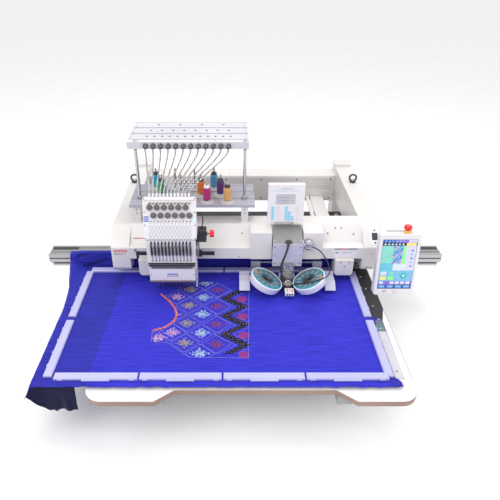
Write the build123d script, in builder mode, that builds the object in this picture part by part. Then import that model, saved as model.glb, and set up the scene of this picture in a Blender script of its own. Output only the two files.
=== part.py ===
"""Embroidery machine: bridge frame, twelve-needle head, bead head, moving border frame and table.

Millimetres. +X is the operator's right, the operator stands at -Y, +Z is up, and Z = 0 is the floor
under the levelling feet. Each sub-part is a group of solids written to its own STEP file.
"""

import math
import os

from build123d import *

os.makedirs("parts", exist_ok=True)

# ---------------------------------------------------------------- driving dimensions
# table
TABLE_TOP = 253.0
TABLE_THICKNESS = 22.0
TABLE_HALF_WIDTH = 557.0
TABLE_FRONT = -740.0
TABLE_REAR = 618.0
DECK_THICKNESS = 1.2
SLOT_X = 513.0  # centre of the slots that the Y risers run in
# steel base
BASE_LOW = 70.0
TUBE = 60.0
TUBE_WALL = 4.0
BASE_HALF_WIDTH = 430.0
BASE_FRONT = -470.0
BASE_REAR = 740.0
STAND_BOLTS_X = 750.0  # stand bolt pattern, hole to hole
STAND_BOLTS_Y = 1110.0
STAND_BOLT_R = 6.5
# bridge and end frames
FRAME_INNER = 497.5
FRAME_OUTER = 577.5
BRIDGE_FRONT = -57.0
BRIDGE_REAR = 97.0
BRIDGE_LOW = 374.0
BRIDGE_TOP = 500.0
LEDGE_Z = 426.0
FRAME_TOP = 497.0
CHIN_LOW = 315.0
ARM_LOW = 345.0  # underside of the end frames above the X beam's path
REAR_FRONT = 627.0
REAR_BACK = 740.0
# X beam and border frame
BEAM_HALF_LENGTH = 892.0
BEAM_FRONT = 53.0
BEAM_REAR = 135.0
BEAM_LOW = 266.0
BEAM_TOP = 324.0
BORDER_LEFT, BORDER_RIGHT = -710.0, 490.0
BORDER_FRONT, BORDER_REAR = -658.0, 28.0
STRIP = 30.0
RAIL_LOW, RAIL_TOP = 256.0, 262.5
FABRIC_LOW, FABRIC_TOP = 263.0, 265.0
CLIP_LOW, CLIP_TOP = 265.3, 275.0
# twelve-needle head
NEEDLES = 12
PITCH = 14.0
CASE_X = -305.0
NEEDLE_Y = -121.0
ACTIVE = 6  # index of the needle that stands over the hook at rest
CASE_LOW, CASE_TOP = 396.0, 530.0
CASE_HALF = 98.0
PANEL_WIDTH = 208.0
PANEL_FOOT = (-173.5, 535.0)  # Y, Z of the tension panel's lower front edge
PANEL_HEAD = (-124.6, 695.7)
# bead head
BEAD_X = 172.5
DISC_OFFSET = 90.5
DISC_Y = -145.0
DISC_Z = 322.0
DISC_TILT = 25.0
DISC_R = 70.0
# thread stand
TRAY_LEFT, TRAY_RIGHT = -497.0, 36.0
TRAY_FRONT, TRAY_REAR = 35.0, 243.0
TRAY_TOP = 585.0
POST_X = (-458.5, -7.5)
POST_Y = 96.0
POST_R = 6.5
BAR_TOP = 845.0
BAR_LEFT, BAR_RIGHT = -489.0, 7.0
GUIDE_FIRST_X, GUIDE_PITCH = -412.0, 30.5
GUIDE_Y, GUIDE_Z = 68.0, 830.0
PIN_R = 4.0
PAD_TOP = 590.0
SPOOL_ROWS = {
    62.0: (-342.0, -255.0, -168.0, -81.0),
    128.0: (-366.0, -282.0, -196.0, -111.0),
    200.0: (-399.0, -313.0, -227.0, -141.0),
}
SPOOLS = ((-399, 200), (-366, 128), (-196, 128), (-141, 200), (-111, 128), (-168, 62), (-81, 62))
# operator screens
TABLET_X = 595.0
TABLET_SIZE = (164.0, 268.0, 30.0)
TABLET_LEAN = 7.5
TABLET_MIDDLE = (TABLET_X, -190.5, 433.0)  # middle of the body
LCD_X = 163.5
LCD_SIZE = (152.0, 166.0, 24.0)
LCD_LEAN = 5.0
LCD_PIVOT = (22.0, 510.0)  # Y, Z

RUNNING = 0.05  # radial clearance of a shaft in its bore


# ---------------------------------------------------------------- helpers
def box_between(low, high, mode=Mode.ADD):
    """A box from its lowest to its highest corner, in the part being built."""
    with Locations(tuple((a + b) / 2 for a, b in zip(low, high))):
        Box(*[b - a for a, b in zip(low, high)], mode=mode)


def prism_x(points, x_low, x_high, mode=Mode.ADD):
    """A side profile of (y, z) points, extruded along X."""
    with BuildSketch(Plane.YZ.offset(x_low)) as profile:
        with BuildLine():
            Polyline(*points, close=True)
        make_face()
    extrude(profile.sketch, amount=x_high - x_low, mode=mode)


def rod(start, end, radius, mode=Mode.ADD):
    """A round bar from point to point."""
    axis = Vector(*end) - Vector(*start)
    with Locations(Plane(origin=start, z_dir=axis)):
        Cylinder(radius, axis.length, align=(Align.CENTER, Align.CENTER, Align.MIN), mode=mode)


def save(piece, name):
    """Label a finished sub-part and write its STEP file."""
    piece.part.label = name
    export_step(piece.part, f"parts/{name}.step")


def leaning_plane(middle, degrees):
    """A plane facing the operator, leaning back: local X is +X, local Y runs up the face."""
    lean = math.radians(degrees)
    return Plane(origin=middle, x_dir=(1, 0, 0), z_dir=(0, -math.cos(lean), math.sin(lean)))


def cord(name, points, radius):
    """A cord's tube: straight runs joined by the largest tangent arcs that its runs allow."""
    corners = [Vector(*p) for p in points]
    runs = [b - a for a, b in zip(corners, corners[1:])]
    radii = []
    for before, after in zip(runs, runs[1:]):
        half_turn = math.radians(before.get_angle(after)) / 2
        radii.append(0.45 * min(before.length, after.length) / math.tan(half_turn))
    with BuildPart() as tube:
        with BuildLine() as route:
            FilletPolyline(*points, radius=radii)
        with BuildSketch(Plane(origin=points[0], z_dir=runs[0])):
            Circle(radius)
        sweep(path=route.wires()[0])
    length = route.wires()[0].length
    ratio = tube.part.volume / (math.pi * radius**2 * length)
    print(f"{name}: length {length:.0f}, volume ratio {ratio:.3f}, radii", [round(r) for r in radii])
    save(tube, name)


# ---------------------------------------------------------------- base, feet, table
def base_tubes():
    """Each hollow steel tube of the base as (low corner, high corner)."""
    high = BASE_LOW + TUBE
    tubes = []
    for side in (-1, 1):
        x = side * BASE_HALF_WIDTH
        tubes.append(((x - TUBE / 2, BASE_FRONT, BASE_LOW), (x + TUBE / 2, REAR_FRONT, high)))
    inner = BASE_HALF_WIDTH - TUBE / 2
    for y in (BASE_FRONT, -150.0):
        tubes.append(((-inner, y, BASE_LOW), (inner, y + TUBE, high)))
    for y in (60.0, 540.0):
        for low, high_x in ((-540.0, -inner - TUBE), (-inner, inner), (inner + TUBE, 540.0)):
            tubes.append(((low, y, BASE_LOW), (high_x, y + TUBE, high)))
    tubes.append(((-FRAME_OUTER, REAR_FRONT, BASE_LOW), (FRAME_OUTER, BASE_REAR, high)))
    return tubes


with BuildPart() as base_frame:
    for low, high in base_tubes():
        box_between(low, high)
    for low, high in base_tubes():
        box_between([a + TUBE_WALL for a in low], [b - TUBE_WALL for b in high], mode=Mode.SUBTRACT)
    # foot plates with the stand's bolt holes
    for y in (125.0 - STAND_BOLTS_Y / 2, 125.0 + STAND_BOLTS_Y / 2):
        for side in (-1, 1):
            x_low, x_high = sorted((side * 345.0, side * 460.0))
            box_between((x_low, y - 40, BASE_LOW - 8), (x_high, y + 40, BASE_LOW))
    with Locations((0, 125.0, BASE_LOW - 4)):
        with GridLocations(STAND_BOLTS_X, STAND_BOLTS_Y, 2, 2):
            Hole(STAND_BOLT_R, depth=20)
    # posts under the table, the shelf tubes of the Y rails and the front brackets
    for side in (-1, 1):
        x = side * BASE_HALF_WIDTH
        for y in (BASE_FRONT, -150.0, 60.0, 540.0):
            box_between((x - 20, y + 10, BASE_LOW + TUBE), (x + 20, y + 50, 231))
        box_between((side * SLOT_X - 20, 22, BASE_LOW + TUBE), (side * SLOT_X + 20, 600, 160))
        bracket_x = side * 318.0
        box_between((bracket_x - 25, -700, 196), (bracket_x + 25, -410, 231))
        box_between((bracket_x - 25, -450, BASE_LOW + TUBE), (bracket_x + 25, -410, 196))
save(base_frame, "base_frame")

FOOT_PLACES = [(x, y) for x in (-435.0, 435.0) for y in (-430.0, 680.0)]
with BuildPart() as levelling_feet:
    for x, y in FOOT_PLACES:
        rod((x, y, 0), (x, y, 14), 30)
        rod((x, y, 14), (x, y, 22), 14)
        rod((x, y, 22), (x, y, BASE_LOW - 8), 8)
    fillet(levelling_feet.edges().filter_by(GeomType.CIRCLE).group_by(Axis.Z)[1], radius=4)
save(levelling_feet, "levelling_feet")

HEAD_PLACES = (CASE_X + (ACTIVE - 5.5) * PITCH, BEAD_X)  # X of the two needle points
PLATE_Y = (-185.0, -77.0)
with BuildPart() as table_top:
    with BuildSketch(Plane.XY.offset(TABLE_TOP - TABLE_THICKNESS)):
        with Locations((0, (TABLE_FRONT + TABLE_REAR) / 2)):
            Rectangle(2 * TABLE_HALF_WIDTH, TABLE_REAR - TABLE_FRONT)
        with BuildLine():
            Polyline((-323, TABLE_FRONT), (-258, -690), (287, -690), (351, TABLE_FRONT), close=True)
        make_face(mode=Mode.SUBTRACT)
        for x in HEAD_PLACES:
            with Locations((x, sum(PLATE_Y) / 2)):
                Rectangle(70, PLATE_Y[1] - PLATE_Y[0] + 2, mode=Mode.SUBTRACT)
        for side in (-1, 1):
            with Locations((side * SLOT_X, 320)):
                Rectangle(20, 540, mode=Mode.SUBTRACT)
    extrude(amount=TABLE_THICKNESS)
    uprights = table_top.edges().filter_by(Axis.Z)
    fillet([e for e in uprights if abs(e.center().X) > 556 and e.center().Y < -730], radius=60)
    bends = [e for e in table_top.edges().filter_by(Axis.Z) if e.center().Y < -680]
    fillet([e for e in bends if abs(e.center().X) < 400], radius=10)
save(table_top, "table_top")

with BuildPart() as deck_plates:
    # steel rear deck, then the two tapered slot covers, then the two needle plates
    with BuildSketch(Plane.XY.offset(TABLE_TOP)):
        with Locations((0, 332)):
            Rectangle(2 * TABLE_HALF_WIDTH, 572)
        for side in (-1, 1):
            with Locations((side * SLOT_X, 320)):
                Rectangle(20, 540, mode=Mode.SUBTRACT)
    extrude(amount=DECK_THICKNESS)
    for side in (-1, 1):
        with BuildSketch(Plane.XY.offset(TABLE_TOP)):
            with BuildLine():
                outline = ((497, -640), (530, -640), (534, -330), (556, -250), (556, 45), (497, 45))
                Polyline(*[(side * x, y) for x, y in outline], close=True)
            make_face()
        extrude(amount=DECK_THICKNESS)
    for x in HEAD_PLACES:
        box_between((x - 34, PLATE_Y[0], TABLE_TOP - 3.5), (x + 34, PLATE_Y[1], TABLE_TOP))
        rod((x, NEEDLE_Y, TABLE_TOP - 4), (x, NEEDLE_Y, TABLE_TOP + 1), 2, mode=Mode.SUBTRACT)
save(deck_plates, "deck_plates")

HOOK_Z = 214.0
with BuildPart() as hook_beds:
    for x in HEAD_PLACES:
        box_between((x - 32, -200, BASE_LOW + TUBE), (x + 32, -50, TABLE_TOP - TABLE_THICKNESS))
        box_between((x - 32, -184, 230), (x + 32, -78, TABLE_TOP - 3.5))
        box_between((x - 26, -178, 180), (x + 26, -84, TABLE_TOP - 3.5), mode=Mode.SUBTRACT)
        rod((x, -84, HOOK_Z), (x, -50, HOOK_Z), 5 + RUNNING, mode=Mode.SUBTRACT)
save(hook_beds, "hook_beds")

with BuildPart() as rotary_hook:
    HOOK_X = HEAD_PLACES[0]
    rod((HOOK_X, -140, HOOK_Z), (HOOK_X, -104, HOOK_Z), 21)
    rod((HOOK_X, -140, HOOK_Z), (HOOK_X, -124, HOOK_Z), 16, mode=Mode.SUBTRACT)
    rod((HOOK_X, -136, HOOK_Z), (HOOK_X, -124, HOOK_Z), 12)
    rod((HOOK_X, -104, HOOK_Z), (HOOK_X, -40, HOOK_Z), 5)
    rod((HOOK_X, -46, HOOK_Z), (HOOK_X, -34, HOOK_Z), 16)
save(rotary_hook, "rotary_hook")

with BuildPart() as control_cabinet:
    box_between((-200, 160, 142), (230, 520, 231))
    fillet(control_cabinet.edges().filter_by(Axis.Z), radius=6)
    box_between((-196, 164, 146), (226, 516, 227), mode=Mode.SUBTRACT)
    for i in range(8):
        y = 220 + 24 * i
        box_between((225, y, 165), (231, y + 12, 210), mode=Mode.SUBTRACT)
save(control_cabinet, "control_cabinet")

with BuildPart() as y_rails:
    for side in (-1, 1):
        x = side * SLOT_X
        box_between((x - 11, 26, 160), (x + 11, 596, 178))
        box_between((x - 13, 26, 170), (x - 7, 596, 174), mode=Mode.SUBTRACT)
        box_between((x + 7, 26, 170), (x + 13, 596, 174), mode=Mode.SUBTRACT)
save(y_rails, "y_rails")

# ---------------------------------------------------------------- bridge and end frames
END_PROFILE = (
    (BRIDGE_FRONT, CHIN_LOW + 14), (BRIDGE_FRONT, 427), (25, FRAME_TOP), (REAR_BACK, FRAME_TOP),
    (REAR_BACK, BASE_LOW + TUBE), (REAR_FRONT, BASE_LOW + TUBE), (REAR_FRONT, ARM_LOW),
    (40, ARM_LOW), (40, CHIN_LOW), (BRIDGE_FRONT + 8, CHIN_LOW),
)
SWITCH_X = 548.0
FACE_RISE = (FRAME_TOP - 427) / (25 - BRIDGE_FRONT)
SWITCH_Y = -18.0
SWITCH_Z = 427 + FACE_RISE * (SWITCH_Y - BRIDGE_FRONT)
SWITCH_PLANE = Plane(
    origin=(SWITCH_X, SWITCH_Y, SWITCH_Z), x_dir=(1, 0, 0), z_dir=(0, -FACE_RISE, 1)
)
ROCKER = (24.0, 32.0)
TABLET_PIN = (TABLET_X - 5, -92.0)  # X, Y of the arm's swivel pin


def end_frame(side):
    """One cast C-shaped end frame, hollow, with its raised rear cap."""
    x_low, x_high = sorted((side * FRAME_INNER, side * FRAME_OUTER))
    with BuildPart() as casting:
        prism_x(END_PROFILE, x_low, x_high)
        long_edges = casting.edges().filter_by(Axis.X, reverse=True)
        outer_edges = [e for e in long_edges if abs(e.center().X - side * FRAME_OUTER) < 1]
        fillet([e for e in outer_edges if e.center().Z > 420], radius=7)
        slope = casting.edges().filter_by(Axis.X).group_by(Axis.Z)[-2:]
        fillet([e for group in slope for e in group if e.center().Y < 30], radius=9)
        wall = 7.0
        prism_x(
            (
                (BRIDGE_FRONT + wall, 423), (28, FRAME_TOP - wall), (REAR_BACK - wall, FRAME_TOP - wall),
                (REAR_BACK - wall, 137), (REAR_FRONT + wall, 137), (REAR_FRONT + wall, ARM_LOW + wall),
                (BRIDGE_FRONT + wall, ARM_LOW + wall),
            ),
            x_low + wall, x_high - wall, mode=Mode.SUBTRACT,
        )
        box_between((x_low - 4, 668, FRAME_TOP), (x_high + 4, REAR_BACK, FRAME_TOP + 14))
    return casting


end_frame_left = end_frame(-1)
save(end_frame_left, "end_frame_left")

with BuildPart() as end_frame_right:
    add(end_frame(1).part)
    # boss and pocket of the power switch in the sloping face
    with BuildSketch(SWITCH_PLANE):
        Rectangle(40, 48)
    extrude(amount=-26)
    with BuildSketch(SWITCH_PLANE):
        Rectangle(ROCKER[0] + 1, ROCKER[1] + 3)
    extrude(amount=-18, mode=Mode.SUBTRACT)
    pin_z = SWITCH_PLANE.offset(-7).origin
    rod((SWITCH_X - 15, pin_z.Y, pin_z.Z), (SWITCH_X + 15, pin_z.Y, pin_z.Z), 2 + RUNNING, Mode.SUBTRACT)
    # clevis for the tablet arm
    for z in (380.0, 418.0):
        box_between((565, -92, z), (TABLET_PIN[0] + 17, BRIDGE_FRONT, z + 12))
        rod((*TABLET_PIN, z), (*TABLET_PIN, z + 12), 17)
        rod((*TABLET_PIN, z), (*TABLET_PIN, z + 12), 6 + RUNNING, mode=Mode.SUBTRACT)
save(end_frame_right, "end_frame_right")

with BuildPart() as power_rocker:
    with BuildSketch(SWITCH_PLANE.offset(-12)):
        Rectangle(*ROCKER)
    extrude(amount=13)
    with BuildSketch(SWITCH_PLANE.offset(5)):
        with Locations((0, 7)):
            Rectangle(ROCKER[0] + 2, 20)
    extrude(amount=-5, mode=Mode.SUBTRACT)
    chamfer(power_rocker.edges().filter_by(Axis.X).sort_by(SortBy.DISTANCE)[:2], length=3)
    rod((SWITCH_X - 14, pin_z.Y, pin_z.Z), (SWITCH_X + 14, pin_z.Y, pin_z.Z), 2)
save(power_rocker, "power_rocker")

with BuildPart() as lifting_eyes:
    for side in (-1, 1):
        foot = (side * 548.0, 468.0, FRAME_TOP)
        rod(foot, (foot[0], foot[1], FRAME_TOP + 8), 15)
        with Locations(Location((foot[0], foot[1], FRAME_TOP + 24), (90, 0, 60))):
            Torus(17, 5)
save(lifting_eyes, "lifting_eyes")

TIES = ((366, 434), (342, 360), (-470, -402))
with BuildPart() as rear_beam:
    box_between((-FRAME_INNER, REAR_FRONT, 318), (FRAME_INNER, 728, 465))
    box_between((-FRAME_INNER + 6, REAR_FRONT + 6, 324), (FRAME_INNER - 6, 722, 459), mode=Mode.SUBTRACT)
    fillet(rear_beam.edges().filter_by(Axis.X).group_by(Axis.Z)[-1], radius=6)
    # three ties that run forward to the bridge
    for x_low, x_high in TIES:
        box_between((x_low, BRIDGE_REAR, 336), (x_high, REAR_FRONT, 348))
        box_between((x_low, BRIDGE_REAR, 336), (x_high, BRIDGE_REAR + 8, 400))
save(rear_beam, "rear_beam")

with BuildPart() as rear_cover:
    plates = ((-492, 466, 404, 456), (-492, 492, 322, 378), (-400, 340, 378, 404))
    for x_low, x_high, z_low, z_high in plates:
        box_between((x_low, REAR_FRONT - 3, z_low), (x_high, REAR_FRONT, z_high))
    for x_low, x_high in TIES:
        box_between(
            (x_low - 1, REAR_FRONT - 3, 335), (x_high + 1, REAR_FRONT, 349), mode=Mode.SUBTRACT
        )
save(rear_cover, "rear_cover")

BRIDGE_OUTER = (
    (BRIDGE_FRONT, BRIDGE_LOW), (BRIDGE_FRONT, LEDGE_Z), (-24, LEDGE_Z + 8), (25, BRIDGE_TOP),
    (BRIDGE_REAR, BRIDGE_TOP), (BRIDGE_REAR, BRIDGE_LOW),
)
COVER_INSIDE = (
    (BRIDGE_FRONT + 3, BRIDGE_LOW), (BRIDGE_FRONT + 3, LEDGE_Z - 3), (-21, LEDGE_Z + 5),
    (25, BRIDGE_TOP - 4), (25, BRIDGE_TOP),
)
SHAFT_Y, SHAFT_Z = 24.0, 430.0
with BuildPart() as bridge_beam:
    casting_outline = (*COVER_INSIDE, (BRIDGE_REAR, BRIDGE_TOP), (BRIDGE_REAR, BRIDGE_LOW))
    prism_x(casting_outline, -FRAME_INNER, FRAME_INNER)
    cavity = ((-45, 382), (-45, 418), (-17, 427), (27, 490), (89, 490), (89, 382))
    for x_low, x_high in ((-490.0, -352.0), (-340.0, 278.0), (290.0, 490.0)):
        prism_x(cavity, x_low, x_high, mode=Mode.SUBTRACT)
    rod((-352, SHAFT_Y, SHAFT_Z), (290, SHAFT_Y, SHAFT_Z), 10 + RUNNING, mode=Mode.SUBTRACT)
    # hinge lugs of the small display
    for x in (LCD_X - 38, LCD_X + 30):
        box_between((x, LCD_PIVOT[0] - 9, BRIDGE_TOP), (x + 8, LCD_PIVOT[0] + 9, BRIDGE_TOP + 18))
    rod((LCD_X - 45, *LCD_PIVOT), (LCD_X + 45, *LCD_PIVOT), 3 + RUNNING, mode=Mode.SUBTRACT)
save(bridge_beam, "bridge_beam")

with BuildPart() as bridge_cover:
    prism_x((*BRIDGE_OUTER[:4], *COVER_INSIDE[::-1][1:]), -FRAME_INNER, FRAME_INNER)
save(bridge_cover, "bridge_cover")

with BuildPart() as main_shaft:
    rod((-362, SHAFT_Y, SHAFT_Z), (300, SHAFT_Y, SHAFT_Z), 10)
    rod((-325, SHAFT_Y, SHAFT_Z), (-300, SHAFT_Y, SHAFT_Z), 26)
    rod((150, SHAFT_Y, SHAFT_Z), (175, SHAFT_Y, SHAFT_Z), 26)
save(main_shaft, "main_shaft")

with BuildPart() as drive_motor:
    rod((-486, SHAFT_Y, SHAFT_Z), (-364, SHAFT_Y, SHAFT_Z), 29)
    box_between((-486, SHAFT_Y - 26, 382), (-376, SHAFT_Y + 26, 404))
save(drive_motor, "drive_motor")

with BuildPart() as bridge_boxes:
    for x_low, x_high in ((-461, -377), (380, 460)):
        box_between((x_low, -75, 300), (x_high, -10, BRIDGE_LOW))
    chamfer(bridge_boxes.edges().filter_by(Axis.Y).group_by(Axis.Z)[0], length=10)
    chamfer(bridge_boxes.edges().filter_by(Axis.Z).group_by(Axis.Y)[0], length=4)
save(bridge_boxes, "bridge_boxes")

# ---------------------------------------------------------------- twelve-needle head
RAIL_Z = 423.0
with BuildPart() as head_arm:
    box_between((CASE_X - 68, -88, 352), (CASE_X + 68, BRIDGE_FRONT, 480))
    box_between((CASE_X - 68, -88, 480), (CASE_X + 68, -60, 530))
    fillet(head_arm.edges().filter_by(Axis.Z).group_by(Axis.Y)[0], radius=5)
save(head_arm, "head_arm")

with BuildPart() as case_rail:
    box_between((CASE_X - 150, -97, RAIL_Z - 7), (CASE_X + 171, -88, RAIL_Z + 7))
    box_between((CASE_X - 157, -97, RAIL_Z - 23), (CASE_X - 147, -88, RAIL_Z + 7))
    box_between((CASE_X + 102, -97, RAIL_Z - 14), (CASE_X + 119, -88, RAIL_Z + 14))
save(case_rail, "case_rail")

needle_x = [CASE_X + (i - (NEEDLES - 1) / 2) * PITCH for i in range(NEEDLES)]
BAR_R = 3.0
CASE_FRONT, CASE_BACK = -170.0, -98.0
with BuildPart() as case_body:
    box_between((CASE_X - CASE_HALF, CASE_FRONT, CASE_LOW), (CASE_X + CASE_HALF, CASE_BACK, CASE_TOP))
    box_between(
        (CASE_X - CASE_HALF + 5, CASE_FRONT + 5, CASE_LOW + 12),
        (CASE_X + CASE_HALF - 5, CASE_BACK - 4, CASE_TOP - 4), mode=Mode.SUBTRACT,
    )
    for x in needle_x:
        box_between((x - 3.6, CASE_FRONT, 428), (x + 3.6, CASE_FRONT + 5, 522), mode=Mode.SUBTRACT)
        rod((x, NEEDLE_Y, CASE_LOW), (x, NEEDLE_Y, CASE_LOW + 12), BAR_R + RUNNING, Mode.SUBTRACT)
    # the lever shaft
    rod((CASE_X - 95, -132, 478), (CASE_X + 95, -132, 478), 3)
save(case_body, "case_body")

LEVER = (
    (-136, 474), (-176, 462), (-183, 470), (-183, 512), (-179, 517), (-176, 510),
    (-175, 476), (-136, 483), (-127, 483), (-127, 474),
)


def lever(x):
    """One take-up lever in its slot, bored for the lever shaft."""
    prism_x(LEVER, x - 2.4, x + 2.4)
    rod((x - 3, -132, 478), (x + 3, -132, 478), 3 + RUNNING, mode=Mode.SUBTRACT)


with BuildPart() as takeup_levers:
    for i, x in enumerate(needle_x):
        if i != ACTIVE:
            lever(x)
save(takeup_levers, "takeup_levers")

with BuildPart() as active_takeup_lever:
    lever(needle_x[ACTIVE])
save(active_takeup_lever, "active_takeup_lever")


def needle_bar(x):
    """A needle bar with its clamp and needle, raised."""
    rod((x, NEEDLE_Y, 322), (x, NEEDLE_Y, 500), BAR_R)
    box_between((x - 4.5, NEEDLE_Y - 5, 305), (x + 4.5, NEEDLE_Y + 5, 322))
    rod((x, NEEDLE_Y, 284), (x, NEEDLE_Y, 305), 0.9)


def presser_foot(x):
    """A presser rod beside its needle bar, with its ring round the needle."""
    rod((x, NEEDLE_Y - 11, 285), (x, NEEDLE_Y - 11, 334), 2.2)
    box_between((x - 2.5, NEEDLE_Y - 12, 279), (x + 2.5, NEEDLE_Y - 3.2, 285))
    rod((x, NEEDLE_Y, 279), (x, NEEDLE_Y, 283), 4.5)
    rod((x, NEEDLE_Y, 278), (x, NEEDLE_Y, 284), 2.4, mode=Mode.SUBTRACT)


with BuildPart() as idle_needle_bars:
    for i, x in enumerate(needle_x):
        if i != ACTIVE:
            needle_bar(x)
            presser_foot(x)
save(idle_needle_bars, "idle_needle_bars")

with BuildPart() as active_needle_bar:
    needle_bar(needle_x[ACTIVE])
save(active_needle_bar, "active_needle_bar")

with BuildPart() as active_presser_foot:
    presser_foot(needle_x[ACTIVE])
save(active_presser_foot, "active_presser_foot")

with BuildPart() as lower_cover:
    half = 93.5
    box_between((CASE_X - half, -175, 334), (CASE_X + half, -171.5, CASE_LOW + 2))
    box_between((CASE_X - half, -171.5, CASE_LOW - 30), (CASE_X - half + 4, -100, CASE_LOW))
    box_between((CASE_X + half - 4, -171.5, CASE_LOW - 30), (CASE_X + half, -100, CASE_LOW))
    # the guide comb that the presser rods run in
    box_between((CASE_X - half, -171.5, 334), (CASE_X + half, -126, 346))
    box_between((CASE_X - half, -171.5, 346), (CASE_X + half, -166, CASE_LOW))
    for x in needle_x:
        rod((x, NEEDLE_Y - 11, 334), (x, NEEDLE_Y - 11, 346), 2.2 + RUNNING, mode=Mode.SUBTRACT)
save(lower_cover, "lower_cover")

panel_run = math.hypot(PANEL_HEAD[0] - PANEL_FOOT[0], PANEL_HEAD[1] - PANEL_FOOT[1])
panel_lean = math.degrees(math.atan2(PANEL_HEAD[0] - PANEL_FOOT[0], PANEL_HEAD[1] - PANEL_FOOT[1]))
PANEL_MIDDLE = (CASE_X, (PANEL_FOOT[0] + PANEL_HEAD[0]) / 2, (PANEL_FOOT[1] + PANEL_HEAD[1]) / 2)
PANEL_PLANE = leaning_plane(PANEL_MIDDLE, panel_lean)
with BuildPart() as tension_panel:
    with BuildSketch(PANEL_PLANE):
        RectangleRounded(PANEL_WIDTH, panel_run, 6)
    extrude(amount=-16)
    fillet(tension_panel.faces().sort_by(Axis((0, 0, 0), tuple(PANEL_PLANE.z_dir)))[-1].edges(), radius=2)
    for side in (-1, 1):
        x = CASE_X + side * 92
        prism_x(((-158, 530.5), (-110, 690), (-104, 690), (-104, CASE_TOP), (-158, CASE_TOP)), x - 3, x + 3)
    # thread ferrules along the top edge
    for x in needle_x:
        top = PANEL_PLANE.offset(-8).from_local_coords(Vector(x - CASE_X, panel_run / 2, 0))
        rod(tuple(top), tuple(top + PANEL_PLANE.y_dir * 11), 4)
save(tension_panel, "tension_panel")

KNOB_ROWS = ((45.0, -7.0), (13.5, 7.0))  # height above the panel's middle, row shift
with BuildPart() as tension_knobs:
    for height, shift in KNOB_ROWS:
        for i in range(6):
            with BuildSketch(PANEL_PLANE):
                with Locations(((i - 2.5) * 28 + shift, height)):
                    Circle(10.5)
            extrude(amount=10)
    fillet(tension_knobs.edges().filter_by(GeomType.CIRCLE), radius=1.5)
save(tension_knobs, "tension_knobs")

KNOB_Y, KNOB_Z = -115.0, 530.0
with BuildPart() as colour_motor:
    box_between((CASE_X + CASE_HALF, -139, 503), (-165, -99, 520))
    box_between((CASE_X + PANEL_WIDTH / 2 + 1, -139, 520), (-165, -99, 556))
    fillet(colour_motor.edges().filter_by(Axis.X), radius=3)
    rod((-190, KNOB_Y, KNOB_Z), (-165, KNOB_Y, KNOB_Z), 3 + RUNNING, mode=Mode.SUBTRACT)
save(colour_motor, "colour_motor")

with BuildPart() as colour_knob:
    rod((-189, KNOB_Y, KNOB_Z), (-152, KNOB_Y, KNOB_Z), 3)
    with BuildSketch(Plane.YZ.offset(-152)):
        with Locations((KNOB_Y, KNOB_Z)):
            RegularPolygon(15, 10)
    extrude(amount=18)
    fillet(colour_knob.faces().sort_by(Axis.X)[-1].edges(), radius=2)
save(colour_knob, "colour_knob")

# ---------------------------------------------------------------- thread stand
with BuildPart() as tray_brackets:
    for x in (-468.0, -7.0):
        box_between((x - 15, 36, BRIDGE_TOP), (x + 15, 40, TRAY_TOP - 3))
        box_between((x - 15, 40, BRIDGE_TOP), (x + 15, 80, BRIDGE_TOP + 4))
        box_between((x - 15, 40, TRAY_TOP - 7), (x + 15, 120, TRAY_TOP - 3))
save(tray_brackets, "tray_brackets")

with BuildPart() as thread_tray:
    box_between((TRAY_LEFT, TRAY_FRONT, TRAY_TOP - 3), (TRAY_RIGHT, TRAY_REAR, TRAY_TOP))
    box_between((TRAY_LEFT, TRAY_FRONT - 3, TRAY_TOP - 12), (TRAY_RIGHT, TRAY_FRONT, TRAY_TOP))
    box_between((TRAY_LEFT, TRAY_REAR, TRAY_TOP - 12), (TRAY_RIGHT, TRAY_REAR + 3, TRAY_TOP))
    for y, places in SPOOL_ROWS.items():
        for x in places:
            rod((x, y, TRAY_TOP), (x, y, PAD_TOP), 33 if y > 100 else 29)
save(thread_tray, "thread_tray")

with BuildPart() as stand_rods:
    for x in POST_X:
        rod((x, POST_Y, TRAY_TOP), (x, POST_Y, BAR_TOP - 9), POST_R)
        rod((x, POST_Y, TRAY_TOP), (x, POST_Y, TRAY_TOP + 12), 13)
    for y, places in SPOOL_ROWS.items():
        for x in places:
            rod((x, y, PAD_TOP), (x, y, PAD_TOP + 92), PIN_R)
save(stand_rods, "stand_rods")

FLAT_BARS = ((114, 182, 12), (190, 258, 8), (266, 339, 4))  # y low, y high, thread holes
with BuildPart() as guide_bars:
    box_between((BAR_LEFT, 76, BAR_TOP - 29), (BAR_RIGHT, 84, BAR_TOP))
    for y_low, y_high, holes in FLAT_BARS:
        box_between((BAR_LEFT, y_low, BAR_TOP - 3), (BAR_RIGHT, y_high, BAR_TOP))
        for i in range(holes):
            x = (BAR_LEFT + BAR_RIGHT) / 2 + (i - (holes - 1) / 2) * 380 / holes
            with Locations((x, (y_low + y_high) / 2, BAR_TOP)):
                Hole(4, depth=6)
    for x in POST_X:
        box_between((x - 12, 84, BAR_TOP - 9), (x + 12, 339, BAR_TOP - 3))
    for i in range(NEEDLES):
        x = GUIDE_FIRST_X + i * GUIDE_PITCH
        rod((x, GUIDE_Y, GUIDE_Z), (x, 76, GUIDE_Z), 10.5)
save(guide_bars, "guide_bars")

SPOOL_PROFILE = ((5, 0.3), (17, 0.3), (17, 4), (16, 8), (16, 62), (11, 68), (11, 74), (5, 74))
with BuildPart() as spools:
    for x, y in SPOOLS:
        with BuildSketch(Plane.XZ.offset(-y)):
            with BuildLine():
                Polyline(*[(x + r, PAD_TOP + z) for r, z in SPOOL_PROFILE], close=True)
            make_face()
        revolve(axis=Axis((x, y, 0), (0, 0, 1)))
save(spools, "spools")

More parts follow.
